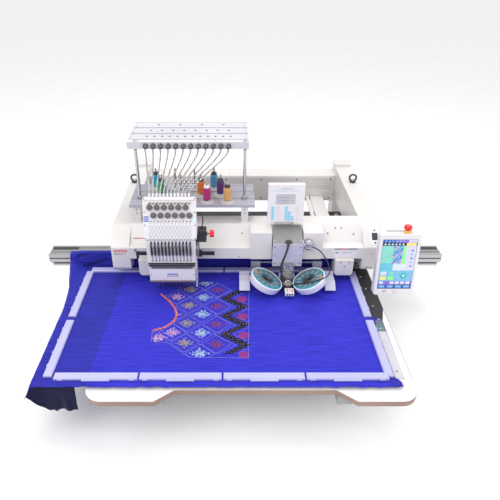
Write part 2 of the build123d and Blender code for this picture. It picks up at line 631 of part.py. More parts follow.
with BuildPart() as thread_tubes:
    for i, x in enumerate(needle_x):
        ferrule = PANEL_PLANE.offset(-8).from_local_coords(Vector(x - CASE_X, panel_run / 2 + 15, 0))
        guide = (GUIDE_FIRST_X + i * GUIDE_PITCH, GUIDE_Y - 4, GUIDE_Z - 13)
        rod(tuple(ferrule), guide, 2.2)
save(thread_tubes, "thread_tubes")

# ---------------------------------------------------------------- bead head
BEAD_FRONT = -85.0
with BuildPart() as bead_head_cover:
    wedge = (
        (BRIDGE_FRONT - 3, BRIDGE_LOW - 1), (BRIDGE_FRONT - 3, BRIDGE_TOP), (25, BRIDGE_TOP),
        (-24, LEDGE_Z + 8), (BRIDGE_FRONT, LEDGE_Z), (BRIDGE_FRONT, BRIDGE_LOW - 1),
    )
    prism_x(wedge, 17, BEAD_X - 66)
    prism_x(wedge, BEAD_X + 66, 320)
save(bead_head_cover, "bead_head_cover")

with BuildPart() as bead_housing:
    half = 62.0
    box_between((BEAD_X - half, BEAD_FRONT, 354), (BEAD_X + half, BEAD_FRONT + 3, 461))
    prism_x(((-85, 461), (-85, 464), (12, 503), (12, 500), (-82, 461)), BEAD_X - half, BEAD_X + half)
    for side in (-1, 1):
        x = BEAD_X + side * (half - 1.5)
        prism_x(
            ((-82, 354), (-82, 461), (10, 499.2), (-27, 446), (-62, 438), (-62, 354)), x - 1.5, x + 1.5
        )
    box_between((BEAD_X - 40, -82, 372), (BEAD_X + 40, -64, 430))
    # mouth of the air hose over the front plate's lip, with its gland inside
    rod((BEAD_X + 2, -76, 461), (BEAD_X + 2, -76, 500), 12, mode=Mode.SUBTRACT)
    rod((BEAD_X + 3, -71, 428), (BEAD_X + 3.5, -72, 463), 6.5)
    # connector socket on the right side
    box_between((BEAD_X + half, -82, 440), (BEAD_X + half + 4, -66, 470))
    rod((BEAD_X + half + 4, -76, 455), (BEAD_X + half + 12, -76, 455), 8)
    rod((BEAD_X + 86, -76, 436), (BEAD_X + 86, -76, 474), 15)
save(bead_housing, "bead_housing")

with BuildPart() as bead_column:
    box_between((BEAD_X - 28, -110, 300), (BEAD_X + 28, -86, 372))
    box_between((BEAD_X - 20, -128, 306), (BEAD_X + 20, -110, 330))
    box_between((BEAD_X - 28, -86, 330), (BEAD_X + 28, -64, 353.5))
    rod((BEAD_X, -148, 286), (BEAD_X, -148, 312), 20)
    box_between((BEAD_X - 14, -205, 284), (BEAD_X + 22, -172, 300))
    box_between((BEAD_X - 4, -175, 290), (BEAD_X + 12, -168, 300))
    rod((BEAD_X, NEEDLE_Y - 1, 283), (BEAD_X, NEEDLE_Y - 1, 306), 1.2)
save(bead_column, "bead_column")


def disc_plane(side):
    """The plane across a bead disc's middle, tipped inward towards the needle."""
    tip = math.radians(DISC_TILT)
    middle = (BEAD_X + side * DISC_OFFSET, DISC_Y, DISC_Z)
    return Plane(origin=middle, x_dir=(0, 1, 0), z_dir=(-side * math.sin(tip), 0, math.cos(tip)))


# side profile (Y, Z) of the guard brackets outside the bowls
GUARD = (
    (-164, 283), (-130, 306), (-84, 306), (-84, 322), (-80, 322), (-80, 302), (-129, 302), (-162, 280),
)
with BuildPart() as bead_mounts:
    for side in (-1, 1):
        plane = disc_plane(side)
        with BuildSketch(plane.offset(-20)):
            Circle(DISC_R - 4)
        with BuildSketch(plane.offset(9)):
            Circle(DISC_R)
        loft()
        with BuildSketch(plane.offset(-9)):
            Circle(DISC_R - 4)
        extrude(amount=20, mode=Mode.SUBTRACT)
        with BuildSketch(plane.offset(-10)):
            Circle(4)
        extrude(amount=12)
        # arm from the bowl back up to the bead head, and the outer guard bracket
        x = BEAD_X + side * 132
        arm = [(x - 20, -70), (x + 20, -70), (x + 20, -63), (x - 20, -63)]
        with BuildSketch(Plane.XY.offset(322)):
            with BuildLine():
                Polyline(*arm, close=True)
            make_face()
        extrude(amount=44)
        box_between((x - 20, -82, 318), (x + 20, -63, 325))
        low, high = sorted((BEAD_X + side * 62, x))
        box_between((low, -70, 360), (high, -64, 364))
        outer = BEAD_X + side * (DISC_OFFSET + 68)
        low, high = sorted((outer, outer + side * 44))
        prism_x(GUARD, low, high)
        low, high = sorted((x, outer + side * 44))
        box_between((low, -84, 318), (high, -78, 322))
save(bead_mounts, "bead_mounts")


def bead_wheel(side):
    """The turning bead wheel: a ring of open pockets round a raised hub."""
    plane = disc_plane(side)
    with BuildPart() as wheel:
        with BuildSketch(plane.offset(-8)):
            Circle(DISC_R - 5)
            Circle(4 + RUNNING, mode=Mode.SUBTRACT)
        extrude(amount=4)
        with BuildSketch(plane.offset(-4)):
            Circle(DISC_R - 5)
            Circle(DISC_R - 7.5, mode=Mode.SUBTRACT)
            Circle(26)
            Circle(14, mode=Mode.SUBTRACT)
            for turn in range(12):
                with Locations(Rot(0, 0, 30 * turn)):
                    with Locations((45, 0)):
                        Rectangle(36, 1.6)
        extrude(amount=11)
    return wheel


bead_wheel_left = bead_wheel(-1)
save(bead_wheel_left, "bead_wheel_left")
bead_wheel_right = bead_wheel(1)
save(bead_wheel_right, "bead_wheel_right")

# ---------------------------------------------------------------- X beam, carriages, border frame
with BuildPart() as x_beam:
    box_between((-BEAM_HALF_LENGTH, BEAM_FRONT, BEAM_LOW), (BEAM_HALF_LENGTH, BEAM_REAR, BEAM_TOP))
    half = BEAM_HALF_LENGTH + 1
    grooves = (
        (BEAM_FRONT + 14, BEAM_TOP - 5, BEAM_FRONT + 34, BEAM_TOP + 1),
        (BEAM_FRONT + 44, BEAM_TOP - 5, BEAM_REAR - 12, BEAM_TOP + 1),
        (BEAM_FRONT - 1, 302, BEAM_FRONT + 5, 308),
        (BEAM_FRONT - 1, 277, BEAM_FRONT + 16, 285),
        (BEAM_REAR - 6, 285, BEAM_REAR + 1, 297),
        (BEAM_FRONT + 22, 290, BEAM_REAR - 8, 314),
        (BEAM_FRONT + 22, 271, BEAM_REAR - 8, 283),
    )
    for y_low, z_low, y_high, z_high in grooves:
        box_between((-half, y_low, z_low), (half, y_high, z_high), mode=Mode.SUBTRACT)
    for side in (-1, 1):
        low, high = sorted((side * (BEAM_HALF_LENGTH - 14), side * half))
        box_between((low, BEAM_FRONT - 1, BEAM_LOW - 1), (high, BEAM_FRONT + 20, 277), mode=Mode.SUBTRACT)
save(x_beam, "x_beam")

with BuildPart() as x_drive_motor:
    box_between((700, BEAM_REAR, 270), (822, 281, 325))
    fillet(x_drive_motor.edges().filter_by(Axis.X).group_by(Axis.Z)[-1], radius=4)
save(x_drive_motor, "x_drive_motor")

with BuildPart() as y_sliders:
    for side in (-1, 1):
        x = side * SLOT_X
        box_between((x - 22, 69, 163), (x + 22, 119, 190))
        box_between((x - 11.4, 69, 162), (x + 11.4, 119, 178.4), mode=Mode.SUBTRACT)
        box_between((x - 5, 74, 190), (x + 5, 114, BEAM_LOW))
save(y_sliders, "y_sliders")

with BuildPart() as border_frame:
    box_between((BORDER_LEFT, BORDER_FRONT, RAIL_LOW), (BORDER_RIGHT, BORDER_REAR, RAIL_TOP))
    box_between(
        (BORDER_LEFT + STRIP, BORDER_FRONT + STRIP, RAIL_LOW),
        (BORDER_RIGHT - STRIP, BORDER_REAR - STRIP, RAIL_TOP), mode=Mode.SUBTRACT,
    )
    for x in (-520, -110, 300):
        box_between((x - 30, BORDER_REAR, RAIL_LOW), (x + 30, 64, RAIL_TOP))
save(border_frame, "border_frame")

CLIP_GAP = 6.0
LONG_GAPS = (-383.0, -96.0, 188.0)
SIDE_GAP = (-345.0, -320.0)


def clip_spans(start, end, gaps):
    """The clips between the ends of a long side, split at each gap."""
    stops = [start, *[g + s * CLIP_GAP / 2 for g in gaps for s in (-1, 1)], end]
    return zip(stops[::2], stops[1::2])


with BuildPart() as frame_clips:
    for start, end, y in ((-672, 471, BORDER_FRONT), (-692, 479, BORDER_REAR - STRIP)):
        for x_low, x_high in clip_spans(start, end, LONG_GAPS):
            box_between((x_low, y, CLIP_LOW), (x_high, y + STRIP, CLIP_TOP))
    for x in (BORDER_LEFT, BORDER_RIGHT - STRIP):
        box_between((x, -645, CLIP_LOW), (x + STRIP, SIDE_GAP[0], CLIP_TOP))
        box_between((x, SIDE_GAP[1], CLIP_LOW), (x + STRIP, BORDER_REAR - STRIP - 1.5, CLIP_TOP))
    chamfer(frame_clips.faces().group_by(Axis.Z)[-1].edges(), length=3)
save(frame_clips, "frame_clips")

SHEET_LEFT, SHEET_RIGHT = -746.0, 512.0
SHEET_FRONT, SHEET_REAR = -690.0, 45.0
with BuildPart() as fabric_sheet:
    box_between((SHEET_LEFT, SHEET_FRONT, FABRIC_LOW), (SHEET_RIGHT, SHEET_REAR, FABRIC_TOP))
save(fabric_sheet, "fabric_sheet")

with BuildPart() as fabric_drape:
    # side fall, front-left flap, and the stretch that climbs over the X beam
    box_between((SHEET_LEFT - 30, SHEET_FRONT, 120), (SHEET_LEFT, SHEET_REAR, FABRIC_TOP))
    box_between((SHEET_LEFT - 30, SHEET_FRONT - 8, 120), (-590, SHEET_FRONT, FABRIC_TOP))
    box_between((SHEET_LEFT - 30, SHEET_REAR, FABRIC_LOW), (480, SHEET_REAR + 4, 327))
    box_between((SHEET_LEFT - 30, SHEET_REAR, 327), (480, 138, 331))
save(fabric_drape, "fabric_drape")

# ---------------------------------------------------------------- operator screens
TABLET_PLANE = leaning_plane(TABLET_MIDDLE, TABLET_LEAN)
TABLET_FACE = TABLET_SIZE[2] / 2
SCREEN = (137.0, 217.0)
SCREEN_UP = 4.0
HOME_UP = -118.0
TILT_PIN = (TABLET_MIDDLE[1] + 30, 430.0)  # Y, Z
STOP_PLANE = Plane(  # across the emergency stop's stem, at the tablet's top edge
    TABLET_PLANE.offset(-2).from_local_coords(Vector(28, TABLET_SIZE[1] / 2, 0)),
    x_dir=(1, 0, 0), z_dir=TABLET_PLANE.y_dir,
)
with BuildPart() as tablet_body:
    with BuildSketch(TABLET_PLANE.offset(-TABLET_FACE)):
        RectangleRounded(TABLET_SIZE[0], TABLET_SIZE[1], 14)
    extrude(amount=TABLET_SIZE[2])
    front_edges = tablet_body.faces().sort_by(Axis((0, 0, 0), tuple(TABLET_PLANE.z_dir)))[-1].edges()
    fillet(front_edges, radius=4)
    with BuildSketch(TABLET_PLANE.offset(TABLET_FACE)):
        with Locations((0, SCREEN_UP)):
            Rectangle(*SCREEN)
    extrude(amount=-2.5, mode=Mode.SUBTRACT)
    with BuildSketch(TABLET_PLANE.offset(TABLET_FACE)):
        with Locations((4, HOME_UP)):
            Circle(6.4)
    extrude(amount=-6, mode=Mode.SUBTRACT)
    # the emergency stop's collar, bored for its stem
    with BuildSketch(STOP_PLANE.offset(-1)):
        Circle(13)
    extrude(amount=12)
    with BuildSketch(STOP_PLANE.offset(-16)):
        Circle(5 + RUNNING)
    extrude(amount=30, mode=Mode.SUBTRACT)
    # ears on the back for the tilt pin
    for x in (TABLET_X - 24, TABLET_X + 4):
        prism_x(((-178, 415), (-178, 448), (TILT_PIN[0] + 8, 440), (TILT_PIN[0] + 8, 420)), x, x + 10)
        rod((x, *TILT_PIN), (x + 10, *TILT_PIN), 4 + RUNNING, mode=Mode.SUBTRACT)
save(tablet_body, "tablet_body")

with BuildPart() as tablet_screen:
    with BuildSketch(TABLET_PLANE.offset(TABLET_FACE - 2.5)):
        with Locations((0, SCREEN_UP)):
            Rectangle(*SCREEN)
    extrude(amount=2)
save(tablet_screen, "tablet_screen")

with BuildPart() as home_button:
    with BuildSketch(TABLET_PLANE.offset(TABLET_FACE - 4.5)):
        with Locations((4, HOME_UP)):
            Circle(6)
    extrude(amount=5)
save(home_button, "home_button")

with BuildPart() as estop_cap:
    with BuildSketch(STOP_PLANE.offset(-6)):
        Circle(5)
    extrude(amount=24)
    with BuildSketch(STOP_PLANE.offset(18)):
        Circle(16.5)
    with BuildSketch(STOP_PLANE.offset(32)):
        Circle(14.5)
    loft()
    fillet(estop_cap.edges().filter_by(GeomType.CIRCLE).sort_by(Axis.Z)[-1], radius=5)
save(estop_cap, "estop_cap")

with BuildPart() as tablet_arm:
    rod((*TABLET_PIN, 378), (*TABLET_PIN, 432), 6)
    rod((*TABLET_PIN, 392.4), (*TABLET_PIN, 417.6), 15)
    box_between((TABLET_PIN[0] - 6, TILT_PIN[0], 396), (TABLET_PIN[0] + 6, TABLET_PIN[1] - 12, 414))
    box_between((TABLET_PIN[0] - 6, TILT_PIN[0] - 7, 396), (TABLET_PIN[0] + 6, TILT_PIN[0] + 9, 438))
    rod((TABLET_X - 26, *TILT_PIN), (TABLET_X + 16, *TILT_PIN), 4)
save(tablet_arm, "tablet_arm")

LCD_PLANE = leaning_plane((LCD_X, LCD_PIVOT[0] - 10, LCD_PIVOT[1] + 96.8), LCD_LEAN)
with BuildPart() as lcd_box:
    with BuildSketch(LCD_PLANE.offset(-LCD_SIZE[2] / 2)):
        RectangleRounded(LCD_SIZE[0], LCD_SIZE[1], 4)
    extrude(amount=LCD_SIZE[2])
    lcd_front = lcd_box.faces().sort_by(Axis((0, 0, 0), tuple(LCD_PLANE.z_dir)))[-1].edges()
    fillet(lcd_front, radius=2)
    with BuildSketch(LCD_PLANE.offset(LCD_SIZE[2] / 2)):
        with Locations((-3, 18)):
            Rectangle(80, 44)
    extrude(amount=-2, mode=Mode.SUBTRACT)
    rod((LCD_X - 42, *LCD_PIVOT), (LCD_X + 42, *LCD_PIVOT), 3)
    hinge_y, hinge_z = LCD_PIVOT
    box_between((LCD_X - 26, hinge_y - 4, hinge_z - 3), (LCD_X + 26, hinge_y + 4, hinge_z + 18))
save(lcd_box, "lcd_box")

# ---------------------------------------------------------------- cords, as chosen routes
AIR_HOSE = (
    (176, -72, 463), (173, -90, 467), (168, -106, 451), (159, -115, 424), (147, -121, 391),
    (142, -125, 358), (150, -133, 331), (166, -143, 312),
)
SENSOR_CABLE = (
    (273, -76, 444), (294, -82, 440), (316, -96, 425), (334, -116, 401), (345, -142, 378),
    (338, -170, 365), (313, -186, 359), (282, -190, 349), (250, -182, 336), (221, -168, 322),
    (195, -153, 308),
)
MOTOR_CABLE = (
    (-201, -126, 634), (-189, -125, 629), (-179, -122, 613), (-177, -119, 591), (-181, -117, 570),
    (-184, -116, 556),
)
cord("air_hose", AIR_HOSE, 5.0)
cord("sensor_cable", SENSOR_CABLE, 2.5)
cord("motor_cable", MOTOR_CABLE, 2.2)
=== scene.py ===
"""Embroidery machine: looks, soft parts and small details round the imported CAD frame."""
import math
import random

import bmesh
import bpy
from mathutils import Matrix, Vector
from mathutils import noise as field


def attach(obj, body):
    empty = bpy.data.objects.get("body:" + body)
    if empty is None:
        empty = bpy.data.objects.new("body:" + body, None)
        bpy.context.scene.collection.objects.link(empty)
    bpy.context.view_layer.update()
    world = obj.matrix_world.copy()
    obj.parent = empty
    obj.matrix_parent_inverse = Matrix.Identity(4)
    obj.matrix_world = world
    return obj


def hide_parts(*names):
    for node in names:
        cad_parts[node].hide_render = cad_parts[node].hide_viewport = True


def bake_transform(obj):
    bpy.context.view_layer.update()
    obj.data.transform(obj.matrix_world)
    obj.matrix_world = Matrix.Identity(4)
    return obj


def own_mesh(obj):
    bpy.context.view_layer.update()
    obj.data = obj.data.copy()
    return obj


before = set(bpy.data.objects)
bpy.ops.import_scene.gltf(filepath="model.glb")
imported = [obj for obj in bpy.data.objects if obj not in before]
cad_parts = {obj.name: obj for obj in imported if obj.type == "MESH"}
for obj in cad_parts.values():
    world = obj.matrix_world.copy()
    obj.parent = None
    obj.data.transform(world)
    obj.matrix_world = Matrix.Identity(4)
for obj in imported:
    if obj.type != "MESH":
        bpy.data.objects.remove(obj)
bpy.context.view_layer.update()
MM = 0.001  # shapes below are drawn in millimetres, like the CAD, and scaled when they are finished


UP, FRONT = (0, 0, 1), (0, -1, 0)  # normals of level faces and of faces on the operator's side


def clamp(value):
    return min(1.0, max(0.0, value))


def at(x, y, z):
    """A place that is moved and not turned."""
    return Matrix.Translation((x, y, z))


def spun(turn):
    """A place that is turned about Z."""
    return Matrix.Rotation(turn, 4, "Z")


def on_circle(radius, turn, height=0.0):
    return Vector((radius * math.cos(turn), radius * math.sin(turn), height))


# ------------------------------------------------------------------ camera, floor and light
def make_stage():
    camera = bpy.data.objects.new("camera", bpy.data.cameras.new("camera"))
    bpy.context.collection.objects.link(camera)
    camera.location = (-0.074, -1.905, 1.5475)
    camera.rotation_euler = (math.radians(58.543), 0, 0)
    camera.data.lens, camera.data.sensor_width = 36.72, 36.0
    camera.data.shift_x = 0.042
    bpy.context.scene.camera = camera
    bpy.ops.mesh.primitive_plane_add(size=60, location=(0, 0, -0.001))
    floor = bpy.context.object
    floor.name = "floor"
    floor.data.materials.append(paint("floor_white", (0.93, 0.93, 0.94), 0.8, vary=0.01))
    lamps = (
        ("key", (-1.8, -2.2, 3.4), 2.2, 50),
        ("fill", (2.6, -1.6, 2.6), 2.4, 22),
        ("top", (0.2, 0.6, 3.6), 2.6, 40),
    )
    for name, place, size, power in lamps:
        lamp = bpy.data.objects.new(name, bpy.data.lights.new(name, "AREA"))
        lamp.data.size, lamp.data.energy = size, power
        lamp.location = place
        aim = Vector((-0.05, -0.1, 0.35)) - Vector(place)
        lamp.rotation_euler = aim.to_track_quat("-Z", "Y").to_euler()
        bpy.context.collection.objects.link(lamp)
    world = bpy.data.worlds.new("studio")
    bpy.context.scene.world = world
    world.use_nodes = True
    backdrop = world.node_tree.nodes["Background"]
    backdrop.inputs["Color"].default_value = (1.0, 0.992, 0.985, 1)
    backdrop.inputs["Strength"].default_value = 0.95
    bpy.context.scene.view_settings.view_transform = "Standard"


# ------------------------------------------------------------------ materials
def shader(name):
    """A new node material: its tree, its Principled shader and object coordinates."""
    material = bpy.data.materials.new(name)
    material.use_nodes = True
    tree = material.node_tree
    bsdf = tree.nodes["Principled BSDF"]
    coords = tree.nodes.new("ShaderNodeTexCoord").outputs["Object"]
    return material, tree, bsdf, coords


def noise(tree, coords, scale, stretch=(1, 1, 1), detail=4.0):
    """Noise over object coordinates, stretched per axis; gives its Fac output."""
    mapping = tree.nodes.new("ShaderNodeMapping")
    mapping.inputs["Scale"].default_value = stretch
    tree.links.new(coords, mapping.inputs["Vector"])
    node = tree.nodes.new("ShaderNodeTexNoise")
    node.inputs["Scale"].default_value = scale
    node.inputs["Detail"].default_value = detail
    tree.links.new(mapping.outputs["Vector"], node.inputs["Vector"])
    return node.outputs["Fac"]


def ramp(tree, value, first, second, start=0.35, end=0.65):
    """Blend from the first colour to the second as the value rises."""
    node = tree.nodes.new("ShaderNodeValToRGB")
    node.color_ramp.elements[0].position, node.color_ramp.elements[1].position = start, end
    node.color_ramp.elements[0].color = (*first, 1)
    node.color_ramp.elements[1].color = (*second, 1)
    tree.links.new(value, node.inputs["Fac"])
    return node.outputs["Color"]


def spread(tree, value, least, most):
    node = tree.nodes.new("ShaderNodeMapRange")
    node.inputs["To Min"].default_value, node.inputs["To Max"].default_value = least, most
    tree.links.new(value, node.inputs["Value"])
    return node.outputs["Result"]


def bump(tree, bsdf, value, strength, distance):
    node = tree.nodes.new("ShaderNodeBump")
    node.inputs["Strength"].default_value = strength
    node.inputs["Distance"].default_value = distance
    tree.links.new(value, node.inputs["Height"])
    tree.links.new(node.outputs["Normal"], bsdf.inputs["Normal"])


def paint(name, colour, rough, vary=0.04, metal=0.0, grain=700.0, grain_depth=0.00006, coat=0.0,
          stretch=(1, 1, 1)):
    """Painted or moulded surface: slow colour drift, uneven gloss and a fine grain."""
    material, tree, bsdf, coords = shader(name)
    drift = noise(tree, coords, 5.0, detail=6.0)
    darker = [c * (1 - vary) for c in colour]
    lighter = [min(1.0, c * (1 + vary)) for c in colour]
    tree.links.new(ramp(tree, drift, darker, lighter), bsdf.inputs["Base Color"])
    smudge = noise(tree, coords, 14.0, stretch, detail=5.0)
    tree.links.new(spread(tree, smudge, rough * 0.75, rough * 1.25), bsdf.inputs["Roughness"])
    bsdf.inputs["Metallic"].default_value = metal
    bsdf.inputs["Coat Weight"].default_value = coat
    bump(tree, bsdf, noise(tree, coords, grain, stretch), 0.35, grain_depth)
    return material


def metal(name, colour, rough, along=(1, 40, 40)):
    """Bare metal with a directional brushed grain."""
    return paint(name, colour, rough, vary=0.06, metal=1.0, grain=60.0, grain_depth=0.00004, stretch=along)


def glass(name, colour, alpha, rough=0.04):
    material, tree, bsdf, coords = shader(name)
    tint = ramp(tree, noise(tree, coords, 9.0), [c * 0.9 for c in colour], colour)
    tree.links.new(tint, bsdf.inputs["Base Color"])
    bsdf.inputs["Roughness"].default_value = rough
    bsdf.inputs["Alpha"].default_value = alpha
    return material


def lit(name, colour, glow=0.1):
    """A lit patch of a display."""
    material, tree, bsdf, coords = shader(name)
    tint = ramp(tree, noise(tree, coords, 60.0), [c * 0.9 for c in colour], colour)
    tree.links.new(tint, bsdf.inputs["Base Color"])
    tree.links.new(tint, bsdf.inputs["Emission Color"])
    bsdf.inputs["Emission Strength"].default_value = glow
    bsdf.inputs["Roughness"].default_value = 0.12
    return material


def cloth(name, colour, shade):
    """Stretched crepe: drawn creases along X with painted shade in their troughs, a fine rib and soft sheen.
    """
    material, tree, bsdf, coords = shader(name)
    crease = noise(tree, coords, 34.0, (0.3, 5.0, 5.0), detail=7.0)
    # painted shade: the crease noise blends the colour towards the shade tone, darkening the crease troughs
    folds = ramp(tree, crease, shade, colour, 0.38, 0.56)
    patch = noise(tree, coords, 2.2, detail=3.0)
    blend = tree.nodes.new("ShaderNodeMixRGB")
    blend.blend_type = "MULTIPLY"
    blend.inputs["Fac"].default_value = 0.5
    tree.links.new(folds, blend.inputs["Color1"])
    tree.links.new(ramp(tree, patch, (0.86, 0.86, 0.88), (1, 1, 1)), blend.inputs["Color2"])
    tree.links.new(blend.outputs["Color"], bsdf.inputs["Base Color"])
    bsdf.inputs["Roughness"].default_value = 0.72
    bsdf.inputs["Sheen Weight"].default_value = 0.06
    bsdf.inputs["Specular IOR Level"].default_value = 0.16
    rib = noise(tree, coords, 420.0, (0.25, 1.6, 1.6), detail=2.0)
    height = tree.nodes.new("ShaderNodeMath")
    height.operation = "MULTIPLY_ADD"
    height.inputs[1].default_value = 3.0
    tree.links.new(crease, height.inputs[0])
    tree.links.new(rib, height.inputs[2])
    bump(tree, bsdf, height.outputs["Value"], 0.5, 0.0009)
    return material


def thread(name, colour, axis="Z", scale=900.0, shade=0.6):
    """Wound or stitched thread: fine parallel strands, with painted shade in the darker bands between them,
    and a silky gloss.
    """
    material, tree, bsdf, coords = shader(name)
    wave = tree.nodes.new("ShaderNodeTexWave")
    wave.bands_direction = axis
    wave.inputs["Scale"].default_value = scale
    wave.inputs["Distortion"].default_value = 2.5
    tree.links.new(coords, wave.inputs["Vector"])
    # painted shade: the wave bands darken the colour by the shade factor between strands
    tree.links.new(
        ramp(tree, wave.outputs["Fac"], [c * shade for c in colour], colour, 0.1, 0.7),
        bsdf.inputs["Base Color"],
    )
    bsdf.inputs["Roughness"].default_value = 0.38
    bsdf.inputs["Sheen Weight"].default_value = 0.3
    bump(tree, bsdf, wave.outputs["Fac"], 0.6, 0.0003)
    return material


M = {
    "white": paint("machine_white", (0.70, 0.68, 0.67), 0.38, coat=0.15),
    "white_side": paint("machine_white_casting", (0.68, 0.66, 0.65), 0.42, coat=0.1, grain_depth=0.0001),
    "panel": paint("panel_white", (0.72, 0.70, 0.73), 0.3, coat=0.3),
    "lilac": paint("lilac_plastic", (0.44, 0.44, 0.70), 0.42, grain=350),
    "lilac_dark": paint("lilac_plastic_shaded", (0.42, 0.41, 0.66), 0.5, grain=350),
    "tray": paint("tray_grey", (0.40, 0.39, 0.46), 0.4),
    "bars": paint("bar_grey", (0.56, 0.55, 0.60), 0.36),
    "grey": metal("plate_grey", (0.50, 0.49, 0.51), 0.42, (25, 1, 25)),
    "lavender": paint("plate_lavender", (0.52, 0.51, 0.64), 0.38),
    "steel": metal("polished_steel", (0.42, 0.41, 0.40), 0.24, (40, 1, 40)),
    "chrome": metal("chrome_rod", (0.50, 0.49, 0.50), 0.14, (40, 40, 1)),
    "alu": metal("aluminium_profile", (0.46, 0.46, 0.47), 0.36, (1, 40, 40)),
    # painted shade: near-black aluminium for the shade inside the beam's grooves
    "alu_groove_shade": metal("aluminium_groove_shade", (0.10, 0.10, 0.105), 0.5),
    "black": paint("black_enamel", (0.022, 0.022, 0.025), 0.4),
    "black_plastic": paint("black_plastic", (0.03, 0.03, 0.034), 0.45, grain=900),
    "dark": paint("dark_steel", (0.10, 0.10, 0.11), 0.35, metal=0.7),
    "knob": paint("knob_grey", (0.085, 0.068, 0.072), 0.34),
    "knob_ring": paint("knob_ring", (0.20, 0.17, 0.18), 0.3, metal=0.5),
    "relief": paint("relief_shadow", (0.36, 0.34, 0.38), 0.4),
    "housing": paint("housing_grey", (0.23, 0.225, 0.225), 0.42, metal=0.4, stretch=(1, 12, 12)),
    # painted reflection: the polished steel deck's dark reflection painted into its colour as near black
    "deck": paint("deck_steel_dark_reflection", (0.045, 0.045, 0.05), 0.32, metal=0.3),
    "base": paint("base_grey", (0.30, 0.31, 0.33), 0.5),
    "cabinet": paint("cabinet_grey", (0.62, 0.63, 0.66), 0.5),
    "laminate": paint("white_laminate", (0.78, 0.76, 0.77), 0.4, vary=0.02, grain=260),
    "edge": paint("edge_band", (0.30, 0.20, 0.17), 0.5, vary=0.12),
    "cap_white": paint("cap_white", (0.76, 0.76, 0.80), 0.25, coat=0.4),
    "red": paint("red_plastic", (0.72, 0.012, 0.02), 0.25, coat=0.4),
    "amber": paint("amber_collar", (0.90, 0.42, 0.10), 0.4),
    "mint": lit("mint_lamp", (0.45, 0.95, 0.75), 0.5),
    "teal": paint("teal_wheel", (0.012, 0.16, 0.26), 0.3, coat=0.5),
    "clear": glass("clear_lid", (0.62, 0.74, 0.80), 0.2),
    "lid_band": glass("lid_band", (0.03, 0.33, 0.44), 0.72),
    "rubber": paint("black_rubber", (0.02, 0.02, 0.022), 0.55, grain=1200),
    "sleeve": thread("braided_sleeve", (0.40, 0.38, 0.38), "DIAGONAL", 700),
    "pad": paint("felt_pad", (0.58, 0.56, 0.55), 0.9, grain=1500, grain_depth=0.0004),
    "label_grey": paint("label_grey", (0.45, 0.45, 0.48), 0.5),
    "label_blue": paint("label_blue", (0.10, 0.16, 0.55), 0.5),
    "brown": paint("bronze_strip", (0.30, 0.23, 0.23), 0.35, metal=0.5),
    "cloth": cloth("royal_blue_crepe", (0.034, 0.032, 0.54), (0.022, 0.021, 0.40)),
    # painted shade: a darker copy of the crepe for its shaded parts
    "cloth_half_shade": cloth("royal_blue_half_shade", (0.026, 0.027, 0.38), (0.017, 0.018, 0.27)),
    "cloth_shade": cloth("royal_blue_shade", (0.012, 0.013, 0.20), (0.008, 0.008, 0.11)),
    # painted shadow: a near-black copy of the crepe for the flap's deep shadow
    "cloth_deep_shadow": cloth("royal_blue_deep_shadow", (0.006, 0.006, 0.045), (0.002, 0.002, 0.014)),
}
THREADS = {
    "cyan": (0.01, 0.50, 0.72), "green": (0.03, 0.34, 0.11), "orange": (0.90, 0.20, 0.01),
    "purple": (0.10, 0.012, 0.20), "sky": (0.10, 0.38, 0.66), "magenta": (0.55, 0.005, 0.19),
    "peach": (0.86, 0.46, 0.16), "pink": (0.95, 0.64, 0.80), "olive": (0.42, 0.43, 0.07),
    "maroon": (0.22, 0.035, 0.045), "aqua": (0.60, 0.88, 0.92), "crimson": (0.55, 0.01, 0.05),
    "coral": (0.80, 0.12, 0.03), "silver": (0.55, 0.52, 0.78),
}
for tone, colour in THREADS.items():
    M[tone] = thread("thread_" + tone, colour)
M["navy"] = paint("thread_navy", (0.003, 0.003, 0.010), 0.85, grain=900, grain_depth=0.0004)

UI = {
    "ui_navy": (0.03, 0.10, 0.45), "ui_sky": (0.20, 0.46, 0.74), "ui_mint": (0.22, 0.62, 0.52),
    "ui_lilac": (0.60, 0.60, 0.88), "ui_yellow": (0.90, 0.72, 0.20), "ui_green": (0.30, 0.80, 0.25),
    "ui_purple": (0.22, 0.14, 0.62), "ui_pink": (0.75, 0.25, 0.50), "ui_white": (0.62, 0.70, 0.80),
    "ui_cyan": (0.12, 0.50, 0.64), "ui_black": (0.012, 0.02, 0.05), "ui_teal": (0.05, 0.42, 0.50),
}
for tone, colour in UI.items():
    M[tone] = lit(tone, colour)
M["lcd"] = paint("lcd_grey", (0.46, 0.47, 0.52), 0.15, coat=0.6)
M["lcd_ink"] = paint("lcd_ink", (0.30, 0.31, 0.36), 0.2)
M["key_blue"] = paint("key_blue", (0.18, 0.58, 0.80), 0.4)

